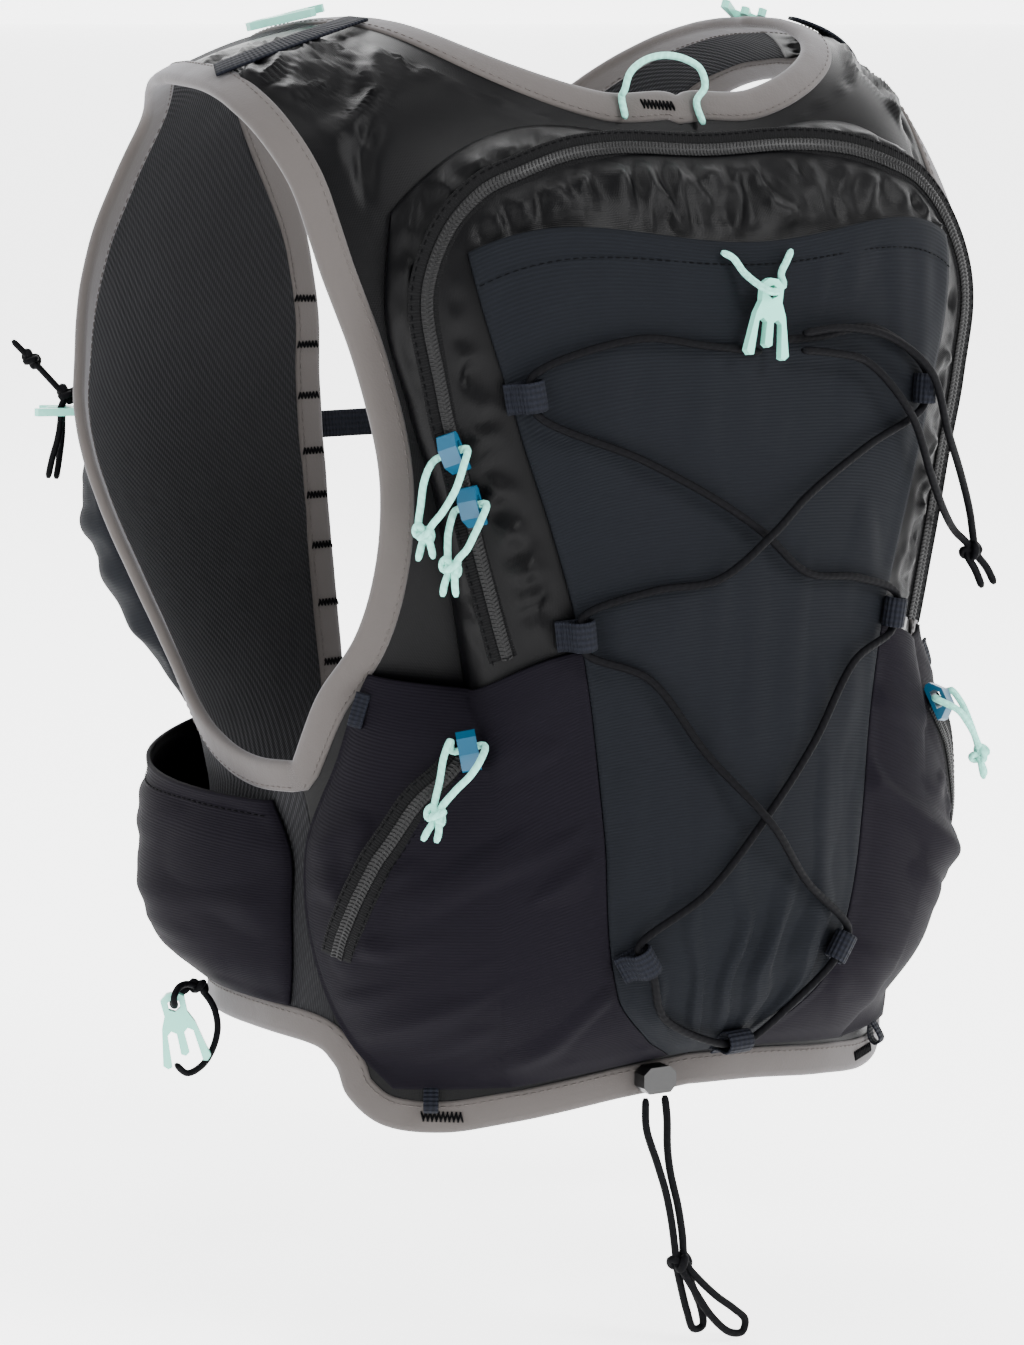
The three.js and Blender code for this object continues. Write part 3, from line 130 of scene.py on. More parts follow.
# Edges of the body cloth: inner lon and lat, outer lon and lat
BACK_ROWS = [
    (0, -53, 80, -52), (0, -42, 73.6, -42), (0, -30, 65.5, -32), (0, -17, 60.2, -20), (0, -4, 58.4, -8),
    (0, 10, 60.2, 4), (0, 24, 63, 15), (0, 38, 66.2, 25.2), (0, 53, 71, 30.8), (22, 52.3, 77, 34.2),
    (46, 53.5, 84, 36.4), (70, 57, 92, 37.4), (90, 58.5, 100, 37.8),
]
FRONT_ROWS = [
    (160.6, -74, 80, -52), (161, -66, 88, -52.4), (161.5, -58.5, 95.5, -51), (162.3, -51, 102.5, -47.5),
    (163.4, -42, 107.4, -40), (165.2, -30, 109.4, -29), (166.8, -17, 109.6, -17), (167.4, -3, 111, -5),
    (167, 10, 115.5, 6), (163, 24, 121.5, 16), (152, 37, 125.8, 25), (134, 48, 125, 33),
    (112, 55.5, 114, 37), (90, 58.5, 100, 37.8),
]
HEM = [
    (0, -100.4), (26, -101.2), (48, -103), (60, -104.2), (68.5, -103.4), (73.4, -99.6), (75.4, -95),
    (80.5, -92.4), (100, -92.6), (124, -94), (152, -94.5),
]
# The main bag and the pockets on it, by their share of its height: depth, half widths and seams in degrees
PACK_FOOT, PACK_TOP, BAG_DEPTH, POCKET_CROWN, STRETCH_TOP, SIDE_TOP = -95.2, 45.5, 33, 7, 0.88, 0.46
PACK_V = [0, 0.02, 0.063, 0.12, 0.25, 0.37, 0.5, 0.68, 0.81, 0.9, 0.965, 1]
PACK_SHARE = [0.03, 0.3, 0.62, 0.82, 1, 0.93, 0.82, 0.72, 0.7, 0.6, 0.32, 0.03]
WIDTH_V = [0, 0.03, 0.09, 0.26, 0.47, 0.58, 0.69, 0.78, 0.88, 1]
PACK_HALF = [50, 52, 53, 54, 53.8, 52.8, 52.6, 54.6, 57, 56]
POCKET_HALF = [10, 22, 33, 37.5, 38, 40, 43.2, 46, 48.6, 50]
SIDE_SEAM = ([0, 0.05, 0.12, 0.2, 0.28, 0.34, 0.4, 0.46], [67, 72.5, 76.5, 78.6, 78.4, 75.6, 71.2, 65.8])
SIDE_CROWN = ([0, 0.05, 0.12, 0.28, 0.415, 0.46], [0, 0.6, 0.95, 1, 0.85, 0.25])
# Pockets on the front: share of height, inner lon and lat, outer lon and lat, share of depth
FRONT_POCKET = [
    (0, 139, -89.2, 82, -87.5, 0.05), (0.15, 146, -84, 81.5, -82, 0.75), (0.4, 150, -74, 81.5, -74, 1),
    (0.75, 151, -60.5, 81.5, -65.5, 0.95), (1, 151, -50.5, 84.5, -58, 0.78),
]
FLASK_POCKET = [
    (0, 153.5, -48.5, 117, -48.5, 0.3), (0.18, 156, -38, 115.6, -38, 0.8), (0.5, 158.5, -22, 115.6, -21, 1),
    (0.8, 160, -7, 117.5, -13, 0.7), (1, 160.5, 2, 119, -10, 0.45),
]
PACK_BASE = CLOTH + LAYER_GAP + POCKET_CLOTH


def pack_half(v):
    return look(WIDTH_V, PACK_HALF, v)


def pocket_half(v):
    return look(WIDTH_V, POCKET_HALF, v)


def pack_height(s, v):
    roll = np.maximum(0, 1 - np.abs(s) ** 9) ** 0.5 * (1 - 0.15 * s * s)
    return PACK_BASE + BAG_DEPTH * look(PACK_V, PACK_SHARE, v) * roll


def pack_place(s, v):
    c = np.minimum(1, np.abs(s))
    lat = mix(PACK_FOOT - 2.5 * c**2, PACK_TOP - 20 * c**5, v)
    return s * pack_half(v), lat


def pocket_edge(v):
    return pocket_half(v) / pack_half(v)


def outer_height(s, v):
    across = 1 - (s / pocket_edge(v)) ** 2
    crown = POCKET_CROWN * np.maximum(0, across) ** 0.8 * np.sqrt(np.minimum(1, v / 0.15))
    return pack_height(s, v) + LAYER_GAP + crown + POCKET_CLOTH


def side_place(q, v):
    pocket = pocket_half(v)
    lon = pocket + q * (look(*SIDE_SEAM, v) - pocket)
    return lon, pack_place(lon / pack_half(v), v)[1]


def side_height(q, v):
    s = side_place(q, v)[0] / pack_half(v)
    inner = np.where(s < 1, pack_height(np.minimum(s, 1), v), PACK_BASE)
    ground = inner + np.where(s < 1.02, LAYER_GAP, 0)
    edge = pack_height(pocket_edge(v), v) + LAYER_GAP
    swell = edge * np.maximum(0, 1 - q**3) ** 0.6 + 3 * np.sin(pi * np.clip(q, 0, 1)) ** 0.8
    return ground + POCKET_CLOTH + np.maximum(0, swell - ground) * look(*SIDE_CROWN, v)


def on_pack(s, v, height):
    lon, lat = pack_place(s, v)
    return on_torso(lon, lat, pack_height(s, v) + height)


def on_outer(s, v, height):
    lon, lat = pack_place(s, v)
    return on_torso(lon, lat, outer_height(s, v) + height)


def on_side(sign):
    def at(q, v, height):
        lon, lat = side_place(q * sign, v)
        return on_torso(lon * sign, lat, side_height(q * sign, v) + height)
    return at


def seat(surface, a, b, height, turn=0):
    a, b = float(a), float(b)
    reach = 0.5 if surface is on_torso else 0.01
    east = surface(a + reach, b, height) - surface(a - reach, b, height)
    up = unit(surface(a, b + reach, height) - surface(a, b - reach, height))
    out = unit(np.cross(up, east))
    across = unit(np.cross(out, up))
    along = up * math.cos(math.radians(turn)) + across * math.sin(math.radians(turn))
    return np.stack([along, np.cross(out, along), out], -1), surface(a, b, height)


def place(matrix, points):
    return np.asarray(points, float) @ matrix[0].T + matrix[1]


def offsets(anchor, points, sign=1):
    return np.asarray(points, float) * [sign, 1, 1] + anchor


def aimed(way):
    return Vector(way).to_track_quat("-Z", "Y").to_euler()


# Camera, at the photograph's angle: psi from the spine and eps above level
target, distance, aside, below = np.array([0, 0, -0.2]), 1.7, 0.0168, 0.0462
psi, eps = math.radians(33), math.radians(7)
away = np.array([math.sin(psi) * math.cos(eps), math.cos(psi) * math.cos(eps), math.sin(eps)])
rightward = np.array([-math.cos(psi), math.sin(psi), 0])
eye = target + away * distance
aim = target - rightward * aside - np.cross(away, rightward) * below
cam = bpy.data.objects.new("camera", bpy.data.cameras.new("camera"))
to_scene(cam)
cam.location = eye
cam.rotation_euler = aimed(aim - eye)
cam.data.sensor_fit = "VERTICAL"
cam.data.sensor_height = 36
cam.data.lens = 117.6
cam.data.clip_end = 1000
bpy.context.scene.camera = cam


# Materials, with their patterns in the piece's own coordinates, in metres
WAVE_SCALE = 0.314159  # makes a wave of scale 1 / size as long as that size


def shader(name, colour, rough, bumps=(), tint=0, sheen=0, spec=0.5):
    """A look with bumps, each of a kind, coordinate, size, strength and depth; tint follows the weave."""
    m = bpy.data.materials.new(name)
    m.use_nodes = True
    nodes, link = m.node_tree.nodes, m.node_tree.links.new

    def node(kind, **values):
        made = nodes.new("ShaderNode" + kind)
        for key, value in values.items():
            made.inputs[key.replace("_", " ")].default_value = value
        return made

    skin = nodes["Principled BSDF"]
    base = [((c / 255 + 0.055) / 1.055) ** 2.4 if c > 10 else c / 255 / 12.92 for c in colour]
    for key, value in {"Base Color": (*base, 1), "Roughness": rough, "Sheen Weight": sheen,
                       "Sheen Roughness": 0.5, "Specular IOR Level": spec}.items():
        skin.inputs[key].default_value = value
    skin.inputs["Sheen Tint"].default_value = (0.8, 0.82, 0.9, 1)
    where, normal = node("TexCoord"), None
    for kind, coordinate, size, strength, depth in bumps:
        if kind == "noise":
            pattern = node("TexNoise", Scale=1 / size, Detail=4)
        else:
            pattern = node("TexWave", Scale=WAVE_SCALE / size, Distortion=0.35, Detail=1, Detail_Scale=2)
            pattern.bands_direction = {"u": "X", "v": "Y", "d": "DIAGONAL"}[kind]
        out = pattern.outputs["Fac"]
        link(where.outputs["UV" if coordinate == "uv" else "Object"], pattern.inputs["Vector"])
        bump = node("Bump", Strength=strength, Distance=depth)
        link(out, bump.inputs["Height"])
        if normal:
            link(normal, bump.inputs["Normal"])
        normal = bump.outputs["Normal"]
        if tint and kind in "uvd":
            shade = node("Mix")
            shade.data_type = "RGBA"
            shade.inputs["A"].default_value = (*[c * (1 - tint) for c in base], 1)
            shade.inputs["B"].default_value = (*[c * (1 + tint) for c in base], 1)
            link(out, shade.inputs["Factor"])
            link(shade.outputs["Result"], skin.inputs["Base Color"])
    if normal:
        link(normal, skin.inputs["Normal"])
    return m


THREAD = [("noise", "object", 0.0006, 0.5, 0.0002)]
RIBS = [("v", "uv", 0.0012, 0.35, 0.0003), ("noise", "uv", 0.0016, 0.3, 0.0002)]
WEAVE = [("u", "uv", 0.0006, 0.25, 0.00012), ("v", "uv", 0.0006, 0.25, 0.00012)]
LOOKS = {
    "ripstop": shader("shiny_nylon", (2, 2, 3), 0.34, WEAVE, 0, 0, 0.09),
    "mesh": shader("lining_mesh", (15, 15, 17), 0.85, [("d", "uv", 0.0016, 0.7, 0.0005),
                   ("u", "uv", 0.0012, 0.5, 0.0003)], 0.35, 0.05, 0.15),
    "stretch": shader("stretch_weave", (12, 14, 18), 0.78, RIBS, 0.14, 0, 0.07),
    "pocket": shader("pocket_knit", (9, 7, 13), 0.78, RIBS, 0.12, 0, 0.06),
    "binding": shader("binding_felt", (68, 64, 62), 0.92, [("noise", "uv", 0.0009, 0.35, 0.0003),
                      ("noise", "uv", 0.012, 0.2, 0.002)], 0, 0.2, 0.2),
    "zip": shader("zip_tape", (8, 8, 9), 0.75, [("u", "uv", 0.0011, 0.6, 0.0003)], 0.1, 0, 0.08),
    "coil": shader("zip_coil", (9, 9, 10), 0.42, (), 0, 0, 0.2),
    "webbing": shader("webbing_rib", (13, 15, 22), 0.75, [("u", "uv", 0.0016, 0.9, 0.0005),
                      ("v", "uv", 0.0022, 0.5, 0.0003)], 0.3, 0, 0.1),
    "cord": shader("black_cord", (5, 5, 7), 0.65, [("d", "uv", 0.0016, 0.5, 0.0002)], 0.2, 0, 0.05),
    "lace": shader("mint_cord", (124, 196, 180), 0.6, [("d", "uv", 0.0014, 0.6, 0.0004)], 0.08, 0.1, 0.35),
    "mint": shader("mint_nylon", (120, 198, 180), 0.34, [("noise", "object", 0.004, 0.08, 0.001)], 0, 0, 0.5),
    "slider": shader("blue_nylon", (6, 66, 92), 0.4, [("noise", "object", 0.004, 0.06, 0.001)],
                     0, 0, 0.35),
    "black": shader("black_nylon", (8, 8, 9), 0.38, [("noise", "object", 0.003, 0.1, 0.001)]),
    "thread": shader("black_thread", (4, 4, 5), 0.8, THREAD, 0, 0, 0.04),
    "grey_thread": shader("grey_thread", (66, 61, 59), 0.85, THREAD),
}


# Mesh builders
def make(name, verts, faces, uv, look_name, slot_name, nodes=()):
    mesh = bpy.data.meshes.new(name)
    mesh.from_pydata((np.asarray(verts) * MM).tolist(), [], [list(f) for f in faces])
    layer = mesh.uv_layers.new(name="uv")
    loops = np.empty(len(mesh.loops), int)
    mesh.loops.foreach_get("vertex_index", loops)
    layer.data.foreach_set("uv", (np.asarray(uv)[loops] * MM).ravel())
    mesh.polygons.foreach_set("use_smooth", [True] * len(mesh.polygons))
    mesh.materials.append(LOOKS[look_name])
    o = bpy.data.objects.new(name, mesh)
    to_scene(o)
    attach(o, "root")
    if nodes:
        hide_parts(*nodes)
    return o


def resampled(values, keys, at):
    return np.stack([np.interp(at, keys, column) for column in values.T], -1)


def along(points):
    return np.concatenate([[0], np.cumsum(np.linalg.norm(np.diff(points, axis=0), axis=1))])


def grid(top, bottom):
    """Vertices, faces and coordinates of a closed sheet with its two faces as grids of points."""
    n, m = top.shape[:2]
    u, v = (np.cumsum(np.linalg.norm(np.diff(top, axis=a, prepend=first), axis=2), a)
            for a, first in ((1, top[:, :1]), (0, top[:1])))
    u -= u[:, m // 2:m // 2 + 1]
    uv = np.stack([u, np.broadcast_to(v[:, m // 2:m // 2 + 1], v.shape)], -1).reshape(-1, 2)
    i, j = np.meshgrid(np.arange(n - 1), np.arange(m - 1), indexing="ij")
    a = (i * m + j).ravel()
    quads = np.stack([a, a + 1, a + m + 1, a + m], -1)
    rim = np.concatenate([np.arange(m), np.arange(2 * m - 1, n * m, m),
                          np.arange(n * m - 2, n * m - m - 1, -1), np.arange(n * m - 2 * m, 0, -m)])
    nxt = np.roll(rim, -1)
    size = n * m
    sides = np.stack([nxt, rim, rim + size, nxt + size], -1)
    faces = np.concatenate([quads, quads[:, ::-1] + size, sides])
    return np.concatenate([top.reshape(-1, 3), bottom.reshape(-1, 3)]), faces, np.concatenate([uv, uv])


def cloth(name, lon, lat, high, fold, thick, look_name, node, flip):
    """A sheet on the torso, its outer face at a height and folded."""
    verts, faces, uv = grid(on_torso(lon, lat, high + fold), on_torso(lon, lat, high - thick + fold))
    return make(name, verts, faces[:, ::-1] if flip else faces, uv, look_name, look_name, [node])


def loft(rings, closed=False):
    """Vertices, faces and coordinates of a tube through rings of points, with round or flat ends."""
    rings = np.asarray(rings, float)
    n, k = rings.shape[:2]
    middle = rings.mean(1)
    u = along(np.concatenate([middle, middle[:1]])) if closed else along(middle)
    v = along(np.concatenate([rings[0], rings[0][:1]]))[:k]
    uv = np.stack(np.meshgrid(u[:n], v, indexing="ij"), -1).reshape(-1, 2)
    spans = n if closed else n - 1
    i, j = np.meshgrid(np.arange(spans), np.arange(k), indexing="ij")
    a, b = (i * k + j).ravel(), (i * k + (j + 1) % k).ravel()
    c, d = ((i + 1) % n * k + (j + 1) % k).ravel(), ((i + 1) % n * k + j).ravel()
    verts, faces = rings.reshape(-1, 3), np.stack([a, d, c, b], -1).tolist()
    if not closed:
        faces += [list(range(k)), list(range(n * k - 1, (n - 1) * k - 1, -1))]
    return verts, faces, uv


def merge(parts):
    verts, faces, uv, count = [], [], [], 0
    for v, f, t in parts:
        verts.append(v)
        faces += [[index + count for index in face] for face in f]
        uv.append(t)
        count += len(v)
    return np.concatenate(verts), faces, np.concatenate(uv)


def smooth_line(points, step=1.2, closed=False):
    """Evenly spaced points on a centripetal Catmull-Rom line."""
    p = np.asarray(points, float)
    ends = (p[-1:], p[:2]) if closed else (2 * p[:1] - p[1:2], 2 * p[-1:] - p[-2:-1])
    q = np.concatenate([ends[0], p, ends[1]])
    fine = []
    for i in range(len(q) - 3):
        a, b, c, d = q[i:i + 4]
        k = [0]
        for one, two in ((a, b), (b, c), (c, d)):
            k.append(k[-1] + max(np.linalg.norm(two - one), 1e-6) ** 0.5)
        t = np.linspace(k[1], k[2], 17)[:-1, None]

        def blend(one, two, low, high):
            return (high - t) / (high - low) * one + (t - low) / (high - low) * two
        ab, bc, cd = blend(a, b, k[0], k[1]), blend(b, c, k[1], k[2]), blend(c, d, k[2], k[3])
        fine.append(blend(blend(ab, bc, k[0], k[2]), blend(bc, cd, k[1], k[3]), k[1], k[2]))
    fine = np.concatenate(fine + ([] if closed else [p[-1:]]))
    if closed:
        fine = np.concatenate([fine, fine[:1]])
    length = along(fine)
    at = np.linspace(0, length[-1], max(3, int(length[-1] / step) + 1))
    even = resampled(fine, length, at)
    return even[:-1] if closed else even


def tube(points, diameter, sides=12, closed=False, step=1.2):
    """A round cord along a line, its ends rounded off."""
    line = smooth_line(points, step, closed)
    n = len(line)
    tangent = unit(np.roll(line, -1, 0) - np.roll(line, 1, 0)) if closed else unit(np.gradient(line, axis=0))
    normal = np.empty_like(line)
    first = np.cross(tangent[0], [0.31, 0.2, 0.93])
    for i in range(n):
        before = normal[i - 1] if i else first
        normal[i] = unit(before - tangent[i] * (before @ tangent[i]))
    binormal = np.cross(tangent, normal)
    if closed:
        slip = math.atan2(normal[0] @ binormal[-1], normal[0] @ normal[-1])
        turn = (np.arange(n) / n * slip)[:, None]
        normal = normal * np.cos(turn) + binormal * np.sin(turn)
        binormal = np.cross(tangent, normal)
    angle = np.arange(sides) * 2 * pi / sides
    radius = np.full(n, diameter / 2)
    if not closed:
        radius[[0, -1]] *= 0.55
        radius[[1, -2]] *= 0.94
    ring = normal[:, None] * np.cos(angle)[None, :, None] + binormal[:, None] * np.sin(angle)[None, :, None]
    return line, loft(line[:, None] + ring * radius[:, None, None], closed)


CORD_SLOTS = {"cord": "cord", "lace": "mint"}


def cord(name, points, diameter, look_name, nodes):
    line, parts = tube(points, diameter)
    o = make(name, *parts, look_name, CORD_SLOTS[look_name], nodes)
    round(float(along(line)[-1]) * MM, 4)
    return o


def knot(name, at, axis, size, diameter, look_name, nodes):
    """A pulled overhand knot: a squashed trefoil of cord about an axis."""
    axis = unit(np.asarray(axis, float))
    side = unit(np.cross(axis, [0.3, 1, 0.2]))
    third = np.cross(axis, side)
    t = np.arange(36) * 2 * pi / 36
    x, y, z = np.sin(t) + 1.55 * np.sin(2 * t), np.cos(t) - 1.55 * np.cos(2 * t), -np.sin(3 * t)
    scale = (size - diameter) / 5.1
    points = (at + np.outer(x, side) * scale + np.outer(y, third) * scale * 0.85
              + np.outer(z, axis) * scale * 1.25)
    return make(name, *tube(points, diameter, 10, True, 0.8)[1], look_name, CORD_SLOTS[look_name], nodes)


def ribbon(points, outs, width, thick):
    """A band of webbing along a line, its long edges rounded; outs point away from its inner face."""
    p, out = np.asarray(points, float), unit(np.asarray(outs, float))
    tangent = unit(np.gradient(p, axis=0))
    across = unit(np.cross(out, tangent))
    out = np.cross(tangent, across)
    h, w, r = thick, width / 2, thick / 2
    section = [(-w + r, 0), (w - r, 0), (w - 0.3 * r, 0.3 * r), (w, r), (w - 0.3 * r, h - 0.3 * r),
               (w - r, h), (w / 3, h * 1.04), (-w / 3, h * 1.04), (-w + r, h),
               (-w + 0.3 * r, h - 0.3 * r), (-w, r), (-w + 0.3 * r, 0.3 * r)]
    rings = [p + across * x + out * y for x, y in section]
    return loft(np.stack(rings, 1)[:, ::-1])


def stitches(places, directions, outs, length, width, height):
    """Small raised stitches, each a rounded lozenge lying on the cloth."""
    parts = []
    for p, d, o in zip(places, unit(np.asarray(directions)), unit(np.asarray(outs))):
        side = np.cross(o, d)
        rings = []
        for t, r in ((-0.5, 0.3), (-0.3, 0.9), (0.3, 0.9), (0.5, 0.3)):
            centre = p + d * t * length
            rings.append([centre + side * math.cos(a) * r * width / 2 + o * math.sin(a) * r * height
                          for a in np.arange(6) * pi / 3])
        parts.append(loft(np.array(rings)[:, ::-1]))
    return merge(parts)


# Folds: smooth seeded noise over a plane, in mm
def noise(x, y, size, seed):
    table = np.random.default_rng(seed).uniform(0, 2 * pi, (64, 64))
    x, y = np.asarray(x) / size + 100, np.asarray(y) / size + 100
    i, j = np.floor(x).astype(int), np.floor(y).astype(int)
    fx, fy = x - i, y - j

    def corner(a, b):
        angle = table[(i + a) % 64, (j + b) % 64]
        return np.cos(angle) * (fx - a) + np.sin(angle) * (fy - b)
    wx, wy = fx**3 * (fx * (6 * fx - 15) + 10), fy**3 * (fy * (6 * fy - 15) + 10)
    return mix(mix(corner(0, 0), corner(1, 0), wx), mix(corner(0, 1), corner(1, 1), wx), wy) * 1.5


def crinkle(x, y, size, seed):
    """Sharp creases between soft facets, as in thin nylon."""
    bend = size * 0.6
    wx, wy = x + bend * noise(x, y, size * 1.7, seed + 1), y + bend * noise(x, y, size * 1.7, seed + 2)
    coarse, fine = noise(wx, wy, size, seed), noise(wx, wy, size * 0.5, seed + 3)
    return (0.5 - np.abs(coarse)) + 0.4 * (0.5 - np.abs(fine))


# Hooks, sliders and the drawcord's lock keep their solids, with broken edges and moulded nylon
def dress(look_name, names, edge):
    for name in names:
        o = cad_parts[name]
        for s in o.material_slots:
            s.material = LOOKS[look_name]
        bevel = o.modifiers.new("edges", "BEVEL")
        bevel.width, bevel.segments, bevel.limit_method, bevel.angle_limit = edge * MM, 3, "ANGLE", 0.5
        bevel.harden_normals = True


SIDES = (("left", 1), ("right", -1))


def both(name):
    return [f"{name}_{side}" for side, _ in SIDES]


hooks = ["lace_hook", "sternum_hook", *both("pole_hook"), *both("flask_hook"), *both("shoulder_hook")]
dress("mint", hooks, 0.7)
dress("slider", ["main_slider_upper", "main_slider_lower", *both("side_slider")], 0.8)
dress("black", ["drawcord_lock"], 1.2)

# Lace tabs: a fold of webbing round the way of the lace
CORD, PULL_CORD, TAB_WIDTH, TAB_WAY = 3, 2.6, 11, 4.1
FOLD = [(-10, 0.2), (-4, 0.2), (0, 0.3), (2.8, 1.5), (3.9, 4.1), (2.7, 6.8), (0, 7.8), (-2.8, 6.9),
        (-5.2, 3.8), (-7.5, 2), (-10, 1.7)]
LACE_TABS = {
    "upper_left": (0.79, 0.725, -90), "middle_left": (0.7, 0.478, -90), "lower_left": (0.55, 0.13, -60),
    "bottom": (-0.1, 0.025, 0), "lower_right": (-0.574, 0.118, 60), "middle_right": (-0.7, 0.474, 90),
    "upper_right": (-0.74, 0.7, 90),
}
tabs = {name: seat(on_outer, a, b, 0.6, turn) for name, (a, b, turn) in LACE_TABS.items()}
fold = smooth_line([(x, 0, z) for x, z in FOLD], 0.5)
fold_out = unit(np.cross([0, 1, 0], np.gradient(fold, axis=0)))
for name, matrix in tabs.items():
    # the band's inner face is the lace's way, so the tab's foot lies on the pocket
    band = ribbon(place(matrix, fold - fold_out * 0.55), fold_out @ matrix[0].T, TAB_WIDTH, 1.1)
    make(f"tab_{name}", *band, "webbing", "webbing", [f"lace_tab_{name}"])

# The lace through its tabs: places on the pocket, or a tab and the way through it
LACE = [
    (0.02, 0.745, 3), (0.25, 0.755, 3), (0.5, 0.765, 3), ("upper_left", 1), (0.5, 0.63, 3),
    (0.22, 0.585, 3), (0, 0.55, 3), (-0.22, 0.51, 3), (-0.48, 0.503, 3), ("middle_right", -1),
    (-0.52, 0.419, 3), (-0.3, 0.335, 3), (0, 0.26, 3), (0.3, 0.19, 3), ("lower_left", 1),
    (0.42, 0.06, 3), ("bottom", 1), (-0.42, 0.06, 3), ("lower_right", 1), (-0.3, 0.19, 3),
    (0, 0.26, 7), (0.3, 0.335, 3), (0.52, 0.421, 3), ("middle_left", -1), (0.48, 0.506, 3),
    (0.22, 0.51, 3), (0, 0.55, 7), (-0.22, 0.585, 3), (-0.5, 0.63, 3), ("upper_right", 1),
    (-0.5, 0.765, 3), (-0.25, 0.76, 3), (-0.07, 0.76, 3),
]
route = []
for step in LACE:
    if isinstance(step[0], str):
        way = step[1] * (TAB_WIDTH / 2 + 1)
        route += list(place(tabs[step[0]], [(0, way, TAB_WAY), (0, 0, TAB_WAY), (0, -way, TAB_WAY)]))
    else:
        route.append(on_outer(*step))
cord("lace", route, CORD, "cord", ["lace_cord"])
anchor = on_outer(0, 0.76, 0)
# each tail: places on the pocket, then offsets from the anchor where it hangs free
TAILS = [
    ([(-0.146, 0.745, 6.8), (-0.285, 0.738, 6.8), (-0.455, 0.722, 6.8), (-0.65, 0.668, 8.4),
      (-0.812, 0.624, 6)],
     [(-103, -23, -71), (-114, -31, -79), (-123.2, -34, -86), (-122.6, -34, -89), (-126.5, -34, -95),
      (-130, -34, -102)]),
    ([(-0.15, 0.768, 6.8), (-0.327, 0.77, 6.8), (-0.536, 0.754, 8), (-0.7, 0.72, 11.6),
      (-0.842, 0.677, 9)],
     [(-110, -23, -56), (-121, -31, -72), (-126, -34, -86), (-127, -34, -89), (-132, -34, -94.5),
      (-136, -34, -101)]),
]
tail_knot = knot("lace_knot", offsets(anchor, [(-124.6, -34, -87.4)])[0], (-0.5, 0, -1), 10.5, CORD,
                 "cord", ["lace_tail"])
for name, (lying, hanging) in zip(("upper", "lower"), TAILS):
    line = [on_outer(*p) for p in lying] + list(offsets(anchor, hanging))
    cord(f"lace_tail_{name}", line, CORD, "cord", ["lace_tail"])

# The lace hook's own cord
hook = seat(on_outer, -0.005, 0.822, 5.2, -10)
line = [on_outer(*p) for p in [(0.158, 0.868, 2.2), (0.12, 0.862, 3), (0.085, 0.845, 4), (0.05, 0.828, 9.6),
                               (0.022, 0.823, 10.8)]]
line += list(place(hook, [(0, 0, 5.2), (0, 0, 1.4), (0.3, -0.5, -1.7), (1.5, -4, -2.2), (3.5, -7, -1)]))
line += [on_outer(*p) for p in [(-0.075, 0.842, 4), (-0.11, 0.856, 3), (-0.143, 0.868, 2.2)]]
cord("hook_loop", line, PULL_CORD, "lace", ["hook_cord"])

# The pulls: cord doubled through each slider's eye and knotted
PULLS = {
    "upper": ([[(6, -4.5, -4), (9.5, -3.5, -10), (10.5, -4, -18), (10.5, -5.5, -26), (9, -5, -29),
                (9.5, -6, -34), (10, -7, -38)],
               [(0.4, 8, -4), (3.5, 7.8, -12), (6.5, 4, -20), (8.5, -1, -26), (8.5, -2, -29), (7, -2.5, -34),
                (6, -3, -37)]], (9.5, -3.5, -28)),
    "lower": ([[(5, -4, -3), (7.5, -3, -9), (9, -1, -14), (9.5, 0, -18), (9.5, 0.5, -22), (11, 0, -27),
                (11.5, -0.5, -31)],
               [(0.4, 7.4, -4), (3.5, 7.8, -9), (6, 7, -14), (8, 4, -18), (8.5, 3, -22), (8.5, 3, -27),
                (8, 3, -31)]], (9, 1.5, -20.5)),
    "side": ([[(6, -2, 3), (10, 0, -2), (13, 2, -10), (16, 3, -19), (16.5, 3.5, -24), (19, 3, -28),
               (20.5, 2.5, -31)],
              [(0.9, 9.7, -3), (5.3, 10, -8), (10, 8, -13), (15, 5.5, -20), (15.5, 5.5, -24), (16, 6, -28),
               (17, 6, -31.5)]], (16, 4.5, -22)),
}


def pull(name, matrix, shape, sign, node):
    strands, at = PULLS[shape]
    eye, reach = place(matrix, (0.6, 0, 3.25)), sign * (3.5 + PULL_CORD / 2 + 1)
    across = matrix[0][:, 1]
    tie = offsets(eye, [at], sign)[0]
    wrap = knot(f"{name}_knot", tie, offsets((0, 0, 0), [strands[0][3]], sign)[0], 10, PULL_CORD,
                "lace", [node])
    for k, (strand, way) in enumerate(zip(strands, (1, -1))):
        line = [eye, eye + across * reach * way, *offsets(eye, strand, sign)]
        cord(f"{name}_{k}", line, PULL_CORD, "lace", [node])


for name, a, b in (("upper", 0.958, 0.722), ("lower", 0.943, 0.66)):
    pull(f"pull_{name}", seat(on_pack, a, b, 3.6, 8), name, 1, f"main_pull_{name}")
for side, sign in SIDES:
    pull(f"pull_{side}", seat(on_side(sign), 0.575 * sign, 0.42, 3.6, 20 * sign), "side", sign,
         f"side_pull_{side}")

